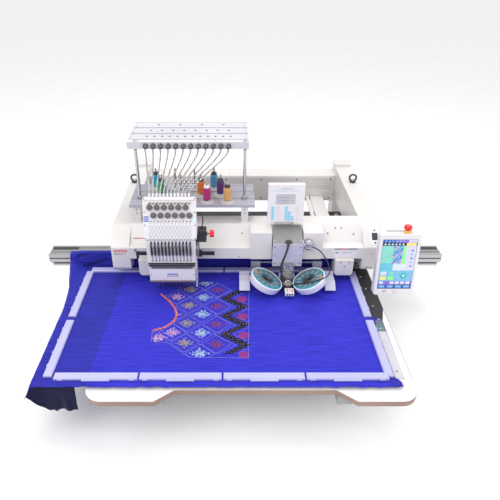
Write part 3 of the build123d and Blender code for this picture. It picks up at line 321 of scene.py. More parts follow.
NODE_LOOKS = {
    "white": ["bridge_beam", "bridge_cover", "rear_beam", "rear_cover", "bead_head_cover", "head_arm",
              "bridge_boxes", "tray_brackets", "case_body"],
    "white_side": ["end_frame_left", "end_frame_right"],
    "panel": ["tension_panel", "lower_cover", "tablet_body", "lcd_box", "home_button"],
    "lilac": ["frame_clips"],
    "tray": ["thread_tray"],
    "bars": ["guide_bars"],
    "lavender": ["bead_housing"],
    "grey": ["bead_column", "tablet_arm"],
    # the deck plates' near-black colour is a painted reflection on polished steel
    "deck": ["deck_plates"],
    "chrome": ["stand_rods", "idle_needle_bars", "active_needle_bar", "active_presser_foot"],
    "alu": ["x_beam", "border_frame"],
    "black": ["case_rail", "takeup_levers", "active_takeup_lever"],
    "black_plastic": ["colour_motor", "power_rocker"],
    "dark": ["lifting_eyes", "y_rails", "y_sliders", "main_shaft", "rotary_hook", "drive_motor",
             "levelling_feet", "tablet_screen"],
    "knob": ["tension_knobs"],
    "base": ["base_frame", "hook_beds", "x_drive_motor"],
    "cabinet": ["control_cabinet"],
    "laminate": ["table_top"],
    "red": ["colour_knob", "estop_cap"],
    "cap_white": ["bead_mounts"],
    "teal": ["bead_wheel_left", "bead_wheel_right"],
}


def dress_frame():
    for look, nodes in NODE_LOOKS.items():
        for node in nodes:
            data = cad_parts[node].data
            data.materials.clear()
            data.materials.append(M[look])


def dress_bead_mounts():
    """White bowls, lavender guards outside them and grey arms behind."""
    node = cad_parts["bead_mounts"]
    for look in ("lavender", "grey"):
        node.data.materials.append(M[look])
    for face in node.data.polygons:
        x, y, z = (node.matrix_world @ face.center) / MM
        across = min(math.dist((x, y), (BEAD_X + side * BOWL_OUT, BOWL_Y)) for side in (-1, 1))
        in_bowl = across < 71.5 and z < 372 and y < -82
        face.material_index = 0 if in_bowl else 1 if abs(x - BEAD_X) > 156 else 2


# ------------------------------------------------------------------ building moves, in millimetres
def box(bm, lowest, highest, look=0, bevel=0.0, place=None):
    """A box between two corners, its edges rounded over, in its own place if one is given."""
    middle = [(a + b) / 2 for a, b in zip(lowest, highest)]
    size = [b - a for a, b in zip(lowest, highest)]
    matrix = Matrix.Translation(middle) @ Matrix.Diagonal((*size, 1))
    made = bmesh.ops.create_cube(bm, size=1, matrix=(place or Matrix()) @ matrix)["verts"]
    faces = {f for v in made for f in v.link_faces}
    if bevel:
        edges = {e for f in faces for e in f.edges}
        cut = bmesh.ops.bevel(bm, geom=list(edges), offset=bevel, segments=2, affect="EDGES", profile=0.6)
        faces = set(cut["faces"]) | {f for f in faces if f.is_valid}
        faces |= {f for v in cut["verts"] for f in v.link_faces}
    for face in faces:
        face.material_index = look
    return faces


def bar(bm, start, end, radius, look=0, segments=20, tip=None, place=None):
    """A round bar, or a cone when its tip radius differs."""
    start, end = Vector(start), Vector(end)
    if place:
        start, end = place @ start, place @ end
    axis = end - start
    matrix = Matrix.Translation((start + end) / 2) @ axis.to_track_quat("Z", "Y").to_matrix().to_4x4()
    made = bmesh.ops.create_cone(
        bm, cap_ends=True, segments=segments, radius1=radius, radius2=radius if tip is None else tip,
        depth=axis.length, matrix=matrix,
    )["verts"]
    for face in {f for v in made for f in v.link_faces}:
        face.material_index = look
        face.smooth = len(face.verts) == 4


def skin(bm, rings, look_of):
    """Join closed rings of vertices into smooth quads; look_of gives each quad's material."""
    for k, (first, second) in enumerate(zip(rings, rings[1:])):
        for i in range(len(first)):
            j = (i + 1) % len(first)
            face = bm.faces.new((first[i], first[j], second[j], second[i]))
            face.material_index, face.smooth = look_of(k, i), True


def tube_ring(bm, point, ahead, radius, sides):
    """A ring of vertices square to a line at one of its points."""
    place = facing(point, ahead)
    return [bm.verts.new(place @ on_circle(radius, 2 * math.pi * k / sides)) for k in range(sides)]


def lathe(bm, profile, place, look=0, segments=32):
    """A turned shape: (radius, height) points about the place's own Z."""
    turns = [2 * math.pi * i / segments for i in range(segments)]
    rings = []
    for radius, height in profile:
        rings.append([bm.verts.new(place @ on_circle(radius, turn, height)) for turn in turns])
    skin(bm, rings, lambda k, i: look)


def screw(bm, place, radius=3.2, looks=(0, 1)):
    """A socket screw facing the place's own Z: a rounded head, and its recess as a flat disc in the second
    look, usually dark, as painted shade in the socket.
    """
    profile = ((0.01, 1.6), (radius * 0.5, 1.6), (radius * 0.8, 1.5), (radius, 0.9), (radius, -0.4))
    lathe(bm, profile[::-1], place, looks[0], 12)
    # painted shade: a flat disc stands for the socket's shaded hollow
    lathe(bm, ((radius * 0.45, 1.65), (0.01, 1.65)), place, looks[1], 6)


def screws(bm, points, radius, looks=(0, 1), normal=FRONT):
    for point in points:
        screw(bm, facing(point, normal), radius, looks)


def facing(point, normal):
    """A place at a point whose own Z looks along the normal."""
    return Matrix.Translation(point) @ Vector(normal).to_track_quat("Z", "Y").to_matrix().to_4x4()


def leaning(middle, degrees):
    """A place on a face that looks at the operator and leans back: own X is +X, own Y runs up it."""
    lean = math.radians(degrees)
    columns = ((1, 0, 0), (0, math.sin(lean), math.cos(lean)), (0, -math.cos(lean), math.sin(lean)))
    return Matrix.Translation(middle) @ Matrix(columns).transposed().to_4x4()


def places_of(looks):
    """Each look's number among a piece's looks."""
    return {name: i for i, name in enumerate(looks)}


def made_of(bm, name, looks):
    """Turn the drawn shape into an object with these looks."""
    bmesh.ops.scale(bm, vec=(MM, MM, MM), verts=bm.verts)
    mesh = bpy.data.meshes.new(name)
    bm.to_mesh(mesh)
    bm.free()
    piece = bpy.data.objects.new(name, mesh)
    bpy.context.collection.objects.link(piece)
    for look in looks:
        mesh.materials.append(M[look])
    return piece


def done(bm, name, looks, body):
    """Turn the drawn shape into a piece that rides on a body."""
    piece = made_of(bm, name, looks)
    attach(piece, body)
    return piece


def route_curve(name, points, radius):
    """A smooth NURBS line through a cord's control points."""
    data = bpy.data.curves.new(name, "CURVE")
    data.dimensions = "3D"
    spline = data.splines.new("NURBS")
    spline.points.add(len(points) - 1)
    for control, point in zip(spline.points, points):
        control.co = (*(c * MM for c in point), 1)
    spline.order_u = 3
    spline.use_endpoint_u = True
    spline.resolution_u = 12
    data.bevel_depth = radius * MM
    data.bevel_resolution = 5
    data.use_fill_caps = True
    curve = bpy.data.objects.new(name, data)
    bpy.context.collection.objects.link(curve)
    return curve


def line_of(points, step):
    """Evenly spaced points along a cord's own NURBS line, in millimetres."""
    curve = route_curve("route", points, 0)
    mesh = bpy.data.meshes.new_from_object(curve)
    line = [v.co / MM for v in mesh.vertices]
    bpy.data.objects.remove(curve)
    total = sum((b - a).length for a, b in zip(line, line[1:]))
    count = max(2, round(total / step))
    spaced, index, walked = [line[0]], 0, 0.0
    for i in range(1, count):
        target = total * i / count
        while walked + (line[index + 1] - line[index]).length < target:
            walked += (line[index + 1] - line[index]).length
            index += 1
        run = line[index + 1] - line[index]
        spaced.append(line[index] + run * ((target - walked) / run.length))
    return [*spaced, line[-1]], total


# ------------------------------------------------------------------ cords
AIR_HOSE = (
    (176, -72, 463), (173, -90, 467), (168, -106, 451), (159, -115, 424), (147, -121, 391),
    (142, -125, 358), (150, -133, 331), (166, -143, 312),
)
SENSOR_CABLE = (
    (273, -76, 444), (294, -82, 440), (316, -96, 425), (334, -116, 401), (345, -142, 378),
    (338, -170, 365), (313, -186, 359), (282, -190, 349), (250, -182, 336), (221, -168, 322),
    (195, -153, 308),
)
MOTOR_CABLE = (
    (-201, -126, 634), (-189, -125, 629), (-179, -122, 613), (-177, -119, 591), (-181, -117, 570),
    (-184, -116, 556),
)


def make_cords():
    for name, node, points, radius, body in (
        ("sensor_lead", "sensor_cable", SENSOR_CABLE, 2.5, "bead_head"),
        ("motor_lead", "motor_cable", MOTOR_CABLE, 2.2, "needle_case"),
    ):
        total = line_of(points, 5)[1]
        lead = route_curve(name, points, radius)
        lead.data.materials.append(M["rubber"])
        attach(lead, body)
        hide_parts(node)
    ring_step, crest, trough = 0.9, 5.0, 4.1
    line, total = line_of(AIR_HOSE, ring_step)
    bm = bmesh.new()
    rings = []
    for i, point in enumerate(line):
        ahead = line[min(i + 1, len(line) - 1)] - line[max(i - 1, 0)]
        rings.append(tube_ring(bm, point, ahead, crest if i % 4 in (1, 2) else trough, 20))
    skin(bm, rings, lambda k, i: 0)
    bm.faces.new(rings[0][::-1])
    bm.faces.new(rings[-1])
    hose = done(bm, "corrugated_hose", ["rubber"], "bead_head")
    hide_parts("air_hose")


# ------------------------------------------------------------------ fabric
def ripple(x, y, seed, scale):
    """Smooth noise between -1 and 1."""
    return field.noise(Vector((x / scale[0], y / scale[1], seed)))


def grid_faces(bm, rows, look_of):
    """Join rows of points into quads; look_of gives each quad's material."""
    lines = [[bm.verts.new(p) for p in row] for row in rows]
    for r, (near, far) in enumerate(zip(lines, lines[1:])):
        for c in range(len(near) - 1):
            face = bm.faces.new((near[c], near[c + 1], far[c + 1], far[c]))
            face.material_index, face.smooth = look_of(r, c), True


FRAME_LEFT, FRAME_RIGHT, FRAME_NEAR, FRAME_FAR = -680.0, 460.0, -628.0, -2.0  # inside of the border strips
STRIP = 32  # width of a border strip
CLOTH_Z = 264.3  # the cloth's middle level
BEAM_FRONT, LEFT_FOLD, FRONT_FOLD = 45, -743, -684  # where the cloth climbs the beam and bends over the frame


def stretched_height(x, y):
    """Crepe creases inside the border frame; flat under the clips; limp outside them."""
    inside = min((x - FRAME_LEFT) / 14, (FRAME_RIGHT - x) / 14, (y - FRAME_NEAR) / 14, (FRAME_FAR - y) / 14)
    if inside > 0:
        patch = 0.35 + 0.65 * max(0.0, ripple(x, y, 3, (240, 150)) + 0.45)
        crease = 0.42 * ripple(x, y, 1, (120, 8.5)) + 0.3 * ripple(x, y, 2, (60, 7.2))
        return CLOTH_Z + min(1.0, inside) * patch * crease
    outside = max(FRAME_LEFT - x, x - FRAME_RIGHT, FRAME_NEAR - y, y - FRAME_FAR) - STRIP
    limp = clamp(outside / 12)
    return CLOTH_Z + limp * (2.2 * ripple(x, y, 5, (38, 30)) + 0.8 * ripple(x, y, 6, (9, 12)))


def flare_at(y):
    """How far the cloth's left edge spreads outward towards the beam."""
    return 46 * max(0.0, (y + 290) / 335) ** 1.5


def rise_at(y):
    """How far that edge is lifted on its way up the beam."""
    return 34 * max(0.0, (y + 80) / 125) ** 2


def make_stretched_cloth():
    xs = [-746 + 5 * i for i in range(252)] + [511.5]
    ys = [-690 + 3.5 * i for i in range(210)] + [BEAM_FRONT]
    rows = []
    for y in ys:
        row = []
        for x in xs:
            front = 3.2 * ripple(x, 0, 8, (30, 1)) - 3 if y < -686 else 0
            loose = 0.12 + 0.88 * max(min(1.0, (-642 - y) / 22), 1 - abs(y + 332) / 16, 0.0)
            side = (x - 490) * (loose - 1) + 3 * ripple(0, y, 9, (1, 16)) if x > 490 else 0
            flare = flare_at(y) * clamp((-714 - x) / STRIP)
            rise = rise_at(y) * clamp((-718 - x) / 20)
            row.append((x + side - flare, y - front, stretched_height(x, y) + rise))
        rows.append(row)
    bm = bmesh.new()
    # the left margin beyond the table edge and the right margin take the half-shade copy of the crepe:
    # painted shade
    grid_faces(bm, rows, lambda r, c: 1 if xs[c] < -539 + (ys[r] + 20) * 19 / 603 or xs[c] > 466 else 0)
    sheet = done(bm, "stretched_cloth", ["cloth", "cloth_half_shade"], "x_carriage")
    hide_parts("fabric_sheet")


def make_beam_cloth():
    """The part that climbs the X beam, gathered towards its left end."""
    beam_edge = 53
    bm = bmesh.new()
    profile = [(BEAM_FRONT, CLOTH_Z), (45.6, 272), (46.4, 288), (47, 304), (47.6, 318), (49, 326)]
    profile += [(beam_edge, 329.5)] + [(beam_edge + 7 * i, 329.6) for i in range(1, 12)] + [(137.5, 329.4)]
    xs = [-762 + 5 * i for i in range(249)]
    rows = []
    for k, (y, z) in enumerate(profile):
        row = []
        for x in xs:
            crease = ripple(x, z * 0.5, 12, (26, 40)) + 0.5 * ripple(x, y, 13, (9, 26))
            up = min(1.0, k / 5)
            flare = max(0.0, (-690 - x) / 72) * (30 + 6 * (1 - up))
            short = clamp((-560 - x) / 30) * 0.7 * max(0, y - beam_edge)
            row.append((x - flare, y - short + 0.9 * crease * (k > 0), z + 1.6 * crease * up * (k > 0)))
        rows.append(row)
    # the whole climb up the beam front takes the half-shade copy of the crepe: painted shade
    grid_faces(bm, rows, lambda r, c: 1)
    climb = done(bm, "beam_cloth", ["cloth", "cloth_half_shade"], "x_carriage")
    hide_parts("fabric_drape")
    return climb


def make_gathered_cloth(climb):
    """Loose folds heaped over the beam beyond the left end frame."""
    bm = bmesh.new()
    rows, across, back = [], 59, 33
    for i in range(across + 1):
        s = i / across
        row = []
        for k in range(back + 1):
            t = k / back
            up = min(1.0, 2 * t)
            x = -758 + 172 * s - 34 * (1 - up) * (1 - s)
            swell = math.sin(math.pi * min(1.0, 0.12 + 0.95 * s)) ** 0.5
            sweep = 2.3 * t - 1.1 * s + 0.35 * ripple(s * 60, t * 60, 21, (34, 34))
            crest = 0.5 + 0.5 * math.sin(2 * math.pi * sweep)
            lift = 3 + 20 * swell * math.sin(math.pi * min(1, t * 1.15)) * (0.45 + 0.55 * crest)
            y = 44 + 9 * up + 50 * max(0.0, t - 0.5) - 0.35 * lift
            base = 262 + 69 * up
            row.append((x + 3 * ripple(s * 100, t * 100, 23, (30, 30)), y, base + max(1.5, 0.6 * lift)))
        rows.append(row)
    # the heap takes the half-shade copy of the crepe, and its troughs the deeper painted shade
    grid_faces(bm, rows, lambda r, c: int(
        math.sin(2 * math.pi * (2.3 * c / back - 1.1 * r / across)) < -0.6))
    heap = done(bm, "gathered_cloth", ["cloth_half_shade", "cloth_shade"], "x_carriage")
    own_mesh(heap)


def make_hanging_cloth():
    """The fall along the frame's left side and the flap past its front left corner."""
    side_run, flap_run, columns, lines = 735.0, 150.0, 190, 25
    leftward, frontward = Vector((-1, 0, 0)), Vector(FRONT)
    rows = []
    for k in range(lines + 1):
        t = k / lines
        row = []
        for i in range(columns + 1):
            s = (side_run + flap_run) * i / columns
            y, beyond = BEAM_FRONT - s, s - side_run
            if beyond <= 0:
                base = Vector((LEFT_FOLD, y, 0))
                outward = (leftward + frontward * max(0.0, (beyond + 40) / 40)).normalized()
            else:
                base = Vector((LEFT_FOLD + beyond, FRONT_FOLD, 0))
                outward = (frontward + leftward * max(0.0, 1 - beyond / 30)).normalized()
            base += Vector((-flare_at(y), 0, rise_at(y)))
            fold = 0.6 * math.sin(s / 19 + 2 * ripple(s, 0, 31, (90, 1))) + ripple(s, t * 60, 32, (24, 50))
            if beyond <= 0:
                reach = (14 + 8 * max(0.0, 1 - s / 330)) * t**0.6
                drop = (92 + 40 * (s / side_run) ** 2) * (1 - 0.7 * max(0.0, 1 + beyond / 110))
            else:
                reach = 7 * t**0.6
                drop = (112 - 10 * max(0.0, (beyond - 70) / 80)) * min(1.0, 0.3 + 0.7 * beyond / 44)
            reach += 16 * max(0.0, 1 - abs(beyond + 30) / 90) * t
            drop += 7 * ripple(s, 0, 33, (16, 1))
            place = base + outward * (reach + 8 * fold * t)
            row.append((place.x, place.y, 263.8 + place.z - drop * t))
        rows.append(row)
    bm = bmesh.new()
    # the side fall takes the half-shade copy of the crepe and the flap the painted deep shadow
    grid_faces(bm, rows, lambda r, c: 1 if c > columns * side_run / (side_run + flap_run) else 0)
    fall = done(bm, "hanging_cloth", ["cloth_half_shade", "cloth_deep_shadow"], "x_carriage")
    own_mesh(fall)


# ------------------------------------------------------------------ embroidery
YOKE = (
    (-360, -166), (-322, -212), (-292, -262), (-282, -308), (-292, -346), (-322, -380), (-368, -400),
    (-363, -463), (-303, -467), (-219, -545), (-4, -549), (12, -112), (-20, -76), (-200, -76), (-310, -96),
)
STITCH_Z = 265.0
ZIGZAG = (
    (-20, -136), (-92, -193), (-13, -251), (-92, -308), (-13, -367), (-94, -422), (-13, -480), (-80, -528),
)
FLOWERS = (  # colour, highlight, middles
    ("aqua", "silver", ((-180, -188), (-180, -300), (-180, -414), (-180, -526), (-176, -84))),
    ("olive", "peach", ((-238, -243), (-238, -356), (-238, -469), (-238, -132))),
    ("maroon", "crimson", ((-121, -136), (-121, -248), (-121, -362), (-121, -476))),
    ("pink", "magenta", ((-290, -184), (-298, -300), (-290, -410), (-340, -442))),
)


def within(x, y, outline):
    """True if a point lies inside an outline."""
    hit = False
    for (x1, y1), (x2, y2) in zip(outline, outline[1:] + outline[:1]):
        if (y1 > y) != (y2 > y) and x < (x2 - x1) * (y - y1) / (y2 - y1) + x1:
            hit = not hit
    return hit


def stitch(bm, start, end, width, look, height=0.8):
    """One stitch: a slim ridge of thread lying on the cloth."""
    run = Vector((end[0] - start[0], end[1] - start[1], 0))
    across = Vector((-run.y, run.x, 0)).normalized() * width / 2
    a, b = Vector((*start[:2], STITCH_Z)), Vector((*end[:2], STITCH_Z))
    middle = (a + b) / 2
    top = bm.verts.new(middle + Vector((0, 0, height)))
    tips = [bm.verts.new(p) for p in (a, middle + across, b, middle - across)]
    for first, second in zip(tips, tips[1:] + tips[:1]):
        face = bm.faces.new((second, first, top))
        face.normal_flip()
        face.material_index, face.smooth = look, True


def between(start, end, count):
    """Evenly spaced points of a line, without its end."""
    return [[a + (b - a) * i / count for a, b in zip(start, end)] for i in range(count)]


def stitched_line(bm, start, end, width, look, pace=7.0, clip=True):
    run = math.dist(start, end)
    count = max(1, round(run / pace))
    for i in range(count):
        a = [start[k] + (end[k] - start[k]) * i / count for k in (0, 1)]
        b = [start[k] + (end[k] - start[k]) * (i + 0.92) / count for k in (0, 1)]
        if not clip or within((a[0] + b[0]) / 2, (a[1] + b[1]) / 2, YOKE):
            stitch(bm, a, b, width, look)


def sprig(bm, rng, centre, look, light):
    """A spiky leaf-and-petal motif, wider than it is deep."""
    for ring, (reach, count, size) in enumerate(((6, 6, 8), (13, 10, 9), (21, 13, 10), (29, 15, 8))):
        for i in range(count):
            turn = 2 * math.pi * (i + 0.5 * ring) / count + rng.uniform(-0.15, 0.15)
            squeeze = 1 - 0.42 * abs(math.sin(2 * turn))
            x = centre[0] + 1.25 * reach * squeeze * math.cos(turn)
            y = centre[1] + 1.0 * reach * squeeze * math.sin(turn)
            bend = turn + rng.uniform(-0.9, 0.9)
            for side in (-0.35, 0.0, 0.35):
                dx, dy = size / 2 * math.cos(bend + side), size / 2 * math.sin(bend + side)
                if within(x, y, YOKE):
                    tint = light if rng.random() < 0.18 else look
                    stitch(bm, (x - dx, y - dy), (x + dx, y + dy), 2.6, tint, 1.0)
    if within(*centre, YOKE):
        for i in range(5):
            dx, dy = 3 * math.cos(1.26 * i), 3 * math.sin(1.26 * i)
            stitch(bm, (centre[0] - dx, centre[1] - dy), (centre[0] + dx, centre[1] + dy), 2.4, light, 1.3)


def make_embroidery():
    rng = random.Random(7)
    looks = ["silver", "aqua", "olive", "maroon", "pink", "navy", "crimson", "coral", "peach", "magenta"]
    index = places_of(looks)
    bm = bmesh.new()
    for name, light, centres in FLOWERS:
        for cx, cy in centres:
            sprig(bm, rng, (cx, cy), index[name], index[light])
            wide, deep = 54, 50  # half the diamond round each flower
            tips = [(cx + wide, cy), (cx, cy - deep), (cx - wide, cy), (cx, cy + deep)]
            for first, second in zip(tips, tips[1:] + tips[:1]):
                stitched_line(bm, first, second, 1.5, index["silver"])
    # neckline: a braided satin band
    for start, end in zip(YOKE[:6], YOKE[1:7]):
        along = (Vector(end) - Vector(start)).normalized()
        for i, (x, y) in enumerate(between(start, end, round(math.dist(start, end) / 2.6))):
            lean = 0.9 if (i // 3) % 2 else 2.2
            dx = 8 * (math.cos(lean) * along.x - math.sin(lean) * along.y)
            dy = 8 * (math.sin(lean) * along.x + math.cos(lean) * along.y)
            tint = index["peach" if i % 7 == 0 and not (i // 3) % 2 else "coral"]
            stitch(bm, (x - dx, y - dy), (x + dx, y + dy), 3.2, tint, 1.4)
    # dark zigzag band with light seed stitches, then the roses beside it
    for start, end in zip(ZIGZAG, ZIGZAG[1:]):
        for i, (x, y) in enumerate(between(start, end, round(abs(end[1] - start[1]) / 1.7))):
            reach = 25 + 4 * math.sin(i)
            stitch(bm, (x - reach, y - 3), (x + reach, y + 3), 2.6, index["navy"], 0.8)
            if i % 6 == 0:
                for off in (-18, -6, 6, 18):
                    dx = x + off + rng.uniform(-3, 3)
                    tint = index["peach" if off > 0 else "silver"]
                    stitch(bm, (dx - 1.4, y), (dx + 1.4, y + 1), 2.2, tint, 1.9)
    for (x1, y1), (x2, y2) in zip(ZIGZAG, ZIGZAG[1:]):
        for off in (-36, 36):
            stitched_line(bm, (x1 + off, y1), (x2 + off, y2), 1.4, index["silver"])
    for y in (-200, -314, -428, -534):
        for ring, reach in enumerate((4, 9, 14, 18)):
            count = 6 + 5 * ring
            for i in range(count):
                turn = 2 * math.pi * i / count + ring
                x, z = -19 + reach * math.cos(turn), y + reach * math.sin(turn)
                if within(x, z, YOKE):
                    dx, dy = 3.4 * math.sin(turn + 0.4), -3.4 * math.cos(turn + 0.4)
                    tint = index["magenta"] if (i + ring) % 4 == 0 else index["crimson"]
                    stitch(bm, (x - dx, z - dy), (x + dx, z + dy), 3.6, tint, 1.1 + 0.15 * ring)
    for first, second in zip(YOKE[6:11], YOKE[7:12]):
        stitched_line(bm, first, second, 1.6, index["silver"], clip=False)
    done(bm, "yoke_embroidery", looks, "x_carriage")


# ------------------------------------------------------------------ table details
def make_table_details():
    arc = [math.pi / 2 * i / 8 for i in range(9)]  # both front corners are rounded to 60
    corners = [(-557, 600), *((-497 - 60 * math.cos(a), -680 - 60 * math.sin(a)) for a in arc)]
    corners += [(-323, -740), (-258, -690), (287, -690), (351, -740)]
    corners += [*((497 + 60 * math.sin(a), -680 - 60 * math.cos(a)) for a in arc), (557, 600)]
    bm = bmesh.new()
    rows = []
    for lift, out in ((231.4, 0.0), (232, 1.1), (242, 1.3), (251.6, 1.1), (252.6, 0.0)):
        row = []
        for i, (x, y) in enumerate(corners):
            before, after = corners[max(i - 1, 0)], corners[min(i + 1, len(corners) - 1)]
            side = Vector((after[1] - before[1], before[0] - after[0], 0)).normalized()
            row.append((x + side.x * out, y + side.y * out, lift))
        rows.append(row)
    grid_faces(bm, rows, lambda r, c: 0)
    for face in bm.faces:
        face.smooth = False
    box(bm, (555.4, -640, 252.6), (557.6, 560, 253.8), 1)
    done(bm, "table_edge_band", ["edge", "label_grey"], "machine")

    bm = bmesh.new()
    for side in (-1, 1):
        spots = (514, -20), (516, -112), (519, -232), (521, -318), (514, -374), (513, -606)
        screws(bm, [(side * x, y, 254.4) for x, y in spots], 5, normal=UP)
        # black sheet over the back of each slot, the polished steel's dark reflection painted on, then its
        # grey cover and the bare steel end
        outline = [(498.5, -200), (551, -200), (555, -248), (555, 44), (498.5, 44)]
        face = bm.faces.new([bm.verts.new((side * x, y, 254.7)) for x, y in outline][::side])
        face.material_index = 2
        low, high = sorted((side * 499, side * 531))
        box(bm, (low, -640, 254.3), (high, -393, 254.7), 3)
        box(bm, (low, -392, 254.2), (high, -320, 255.0), 4)
    done(bm, "slot_cover_details", ["chrome", "dark", "black", "bars", "steel"],
         "machine")

    bm = bmesh.new()
    spans = ((-669, -386), (-380, -99), (-93, 185), (191, 468))
    for x1, x2 in spans:
        middle = (x1 + x2) / 2
        box(bm, (middle - 48, -664.5, 266), (middle + 48, -657.5, 271.5), 0, 1)
        for x in (x1 + 20, x2 - 20):
            box(bm, (x - 9, -661.5, 266), (x + 9, -657.5, 270), 1, 0.8)
    for y1, y2 in ((-645, -345), (-320, -5)):
        for share in (0.18, 0.4, 0.62, 0.84):
            y = y1 + (y2 - y1) * share
            for x in (-710.5, 490.5):
                out = -3 if x < 0 else 3
                box(bm, (min(x, x + out), y - 6, 266), (max(x, x + out), y + 6, 271), 1, 0.8)
    done(bm, "clip_tabs", ["lilac", "lilac_dark"], "x_carriage")


# ------------------------------------------------------------------ bridge and end frames
BRIDGE_FACE = -57.2  # just in front of the bridge and the end frames
def slope_place(x, y):
    """A place on the bridge's sloping front cover."""
    rise, run = 66, 49
    return facing((x, y, 434.2 + (y + 24) * rise / run), (0, -rise, run))


def make_bridge_details():
    bm = bmesh.new()
    screws(bm, [(x, 623.8, z) for x in (100, 289, 470, -89, -280, -440) for z in (444, 334)], 4, (1, 1))
    for x, y in ((-18, 0), (382, 14), (408, 14), (460, -2), (-150, 0), (350, 0), (-425, -4), (-438, 10)):
        screw(bm, slope_place(x, y), 3.2, (1, 1))
    screws(bm, [(x, BRIDGE_FACE, z) for x, z in ((532, 395), (541, 330), (524, 330))], 3)
    screws(bm, [(x, -75.2, z) for x, z in ((420, 345), (440, 366), (403, 366))], 3, (1, 1))
    screws(bm, [(x, 35.8, z) for x in (-7, -468) for z in (545, 562)], 3.4)
    screws(bm, [(x, BRIDGE_FACE, 384) for x in (-30, 30, -400, 330)], 2.6)
    done(bm, "cover_screws", ["chrome", "dark"], "machine")

    bm = bmesh.new()
    # striped label on the left end frame, and plain marks where the bridge carries print
    box(bm, (-565, -58.0, 407), (-508, -57.1, 416), 0)
    for i in range(9):
        box(bm, (-562 + 6 * i, -58.2, 409.5), (-558.5 + 6 * i, -57.9, 413.5), 3)
    for z, right in ((398, -514), (394, -526)):
        box(bm, (-564, -57.5, z), (right, -57.1, z + 1.2), 1)
    for i in range(8):
        place = slope_place(-480 + 7.6 * i, -13)
        box(bm, (-2.8, -2.6, 0), (2.8, 2.6, 0.5), 1 if i < 3 else 0, place=place)
    for i, (x, z) in enumerate(((-476, 414), (-470, 420), (-464, 411), (-470, 407))):
        box(bm, (x - 3.5, -57.8, z - 2.5), (x + 3.5, -57.1, z + 2.5), 1)
    box(bm, (374, -57.7, 420), (471, -57.1, 424), 1)
    box(bm, (402, -57.9, 420.5), (430, -57.6, 423.5), 0)
    box(bm, (372, -57.5, 384), (474, -57.1, 414), 3)
    for x, w in ((380, 7), (389, 4), (410, 20), (436, 12)):
        box(bm, (x, -57.9, 402), (x + w, -57.4, 407), 1 if x < 400 else 2)
    done(bm, "plain_labels", ["red", "knob", "label_grey", "cap_white"], "machine")

    bm = bmesh.new()
    # bezel and screws round the power rocker
    rise, run = 70, 82
    place = leaning((548, -18, 427 + 39 * rise / run), math.degrees(math.atan2(run, rise)))
    for low_corner, high_corner in (
        ((-19, 16.6, 0), (19, 36, 1.2)), ((-19, -36, 0), (19, -16.6, 1.2)),
        ((-19, -16.6, 0), (-12.6, 16.6, 1.2)), ((12.6, -16.6, 0), (19, 16.6, 1.2)),
    ):
        box(bm, low_corner, high_corner, 0, 0.3, place)
    for y in (-28, 28):
        screw(bm, place @ at(0, y, 1.2), 4, (1, 1))
    done(bm, "switch_bezel", ["cap_white", "black_plastic"], "machine")

    # nut under each lifting eye
    bm = bmesh.new()
    for side in (-1, 1):
        bar(bm, (side * 548, 468, 505), (side * 548, 468, 512), 9, 0, 6)
    done(bm, "eye_nuts", ["chrome"], "machine")

    # grooves painted as dark strips of shade, and bolts, at the ends and on top of the X beam
    bm = bmesh.new()
    for side in (-1, 1):
        x = side * 892
        a, b = sorted((x, x + side * 1.2))
        box(bm, (a, 88, 273), (b, 126, 281), 0)
        box(bm, (a, 76, 292), (b, 126, 312), 0)
        for y in (66, 122):
            bar(bm, (x, y, 297), (x + side * 2, y, 297), 3.4, 1, 16)
    for x1, x2 in ((-890, -770), (530, 890)):
        box(bm, (x1, 53.2, 303), (x2, 54.6, 307), 0)
        box(bm, (x1, 98, 319.6), (x2, 120, 320.6), 0)
        screws(bm, [(x, 77, 320.2) for x in range(x1 + 20, x2, 60)], 4, (1, 0), UP)
    done(bm, "beam_end_details", ["alu_groove_shade", "chrome"], "y_carriage")


# ------------------------------------------------------------------ needle head
PANEL = leaning((-305, -149.05, 615.35), 16.93)
PANEL_HALF = 84.0
PITCH = 14  # between needles
PANEL_X = [(i - 5.5) * PITCH for i in range(12)]
NEEDLE_X = [-305 + x for x in PANEL_X]
ACTIVE_X = NEEDLE_X[6]


def pin(bm, x, z, near, far, radius, look, segments=12):
    """A short round pin that points at the operator."""
    bar(bm, (x, near, z), (x, far, z), radius, look, segments)


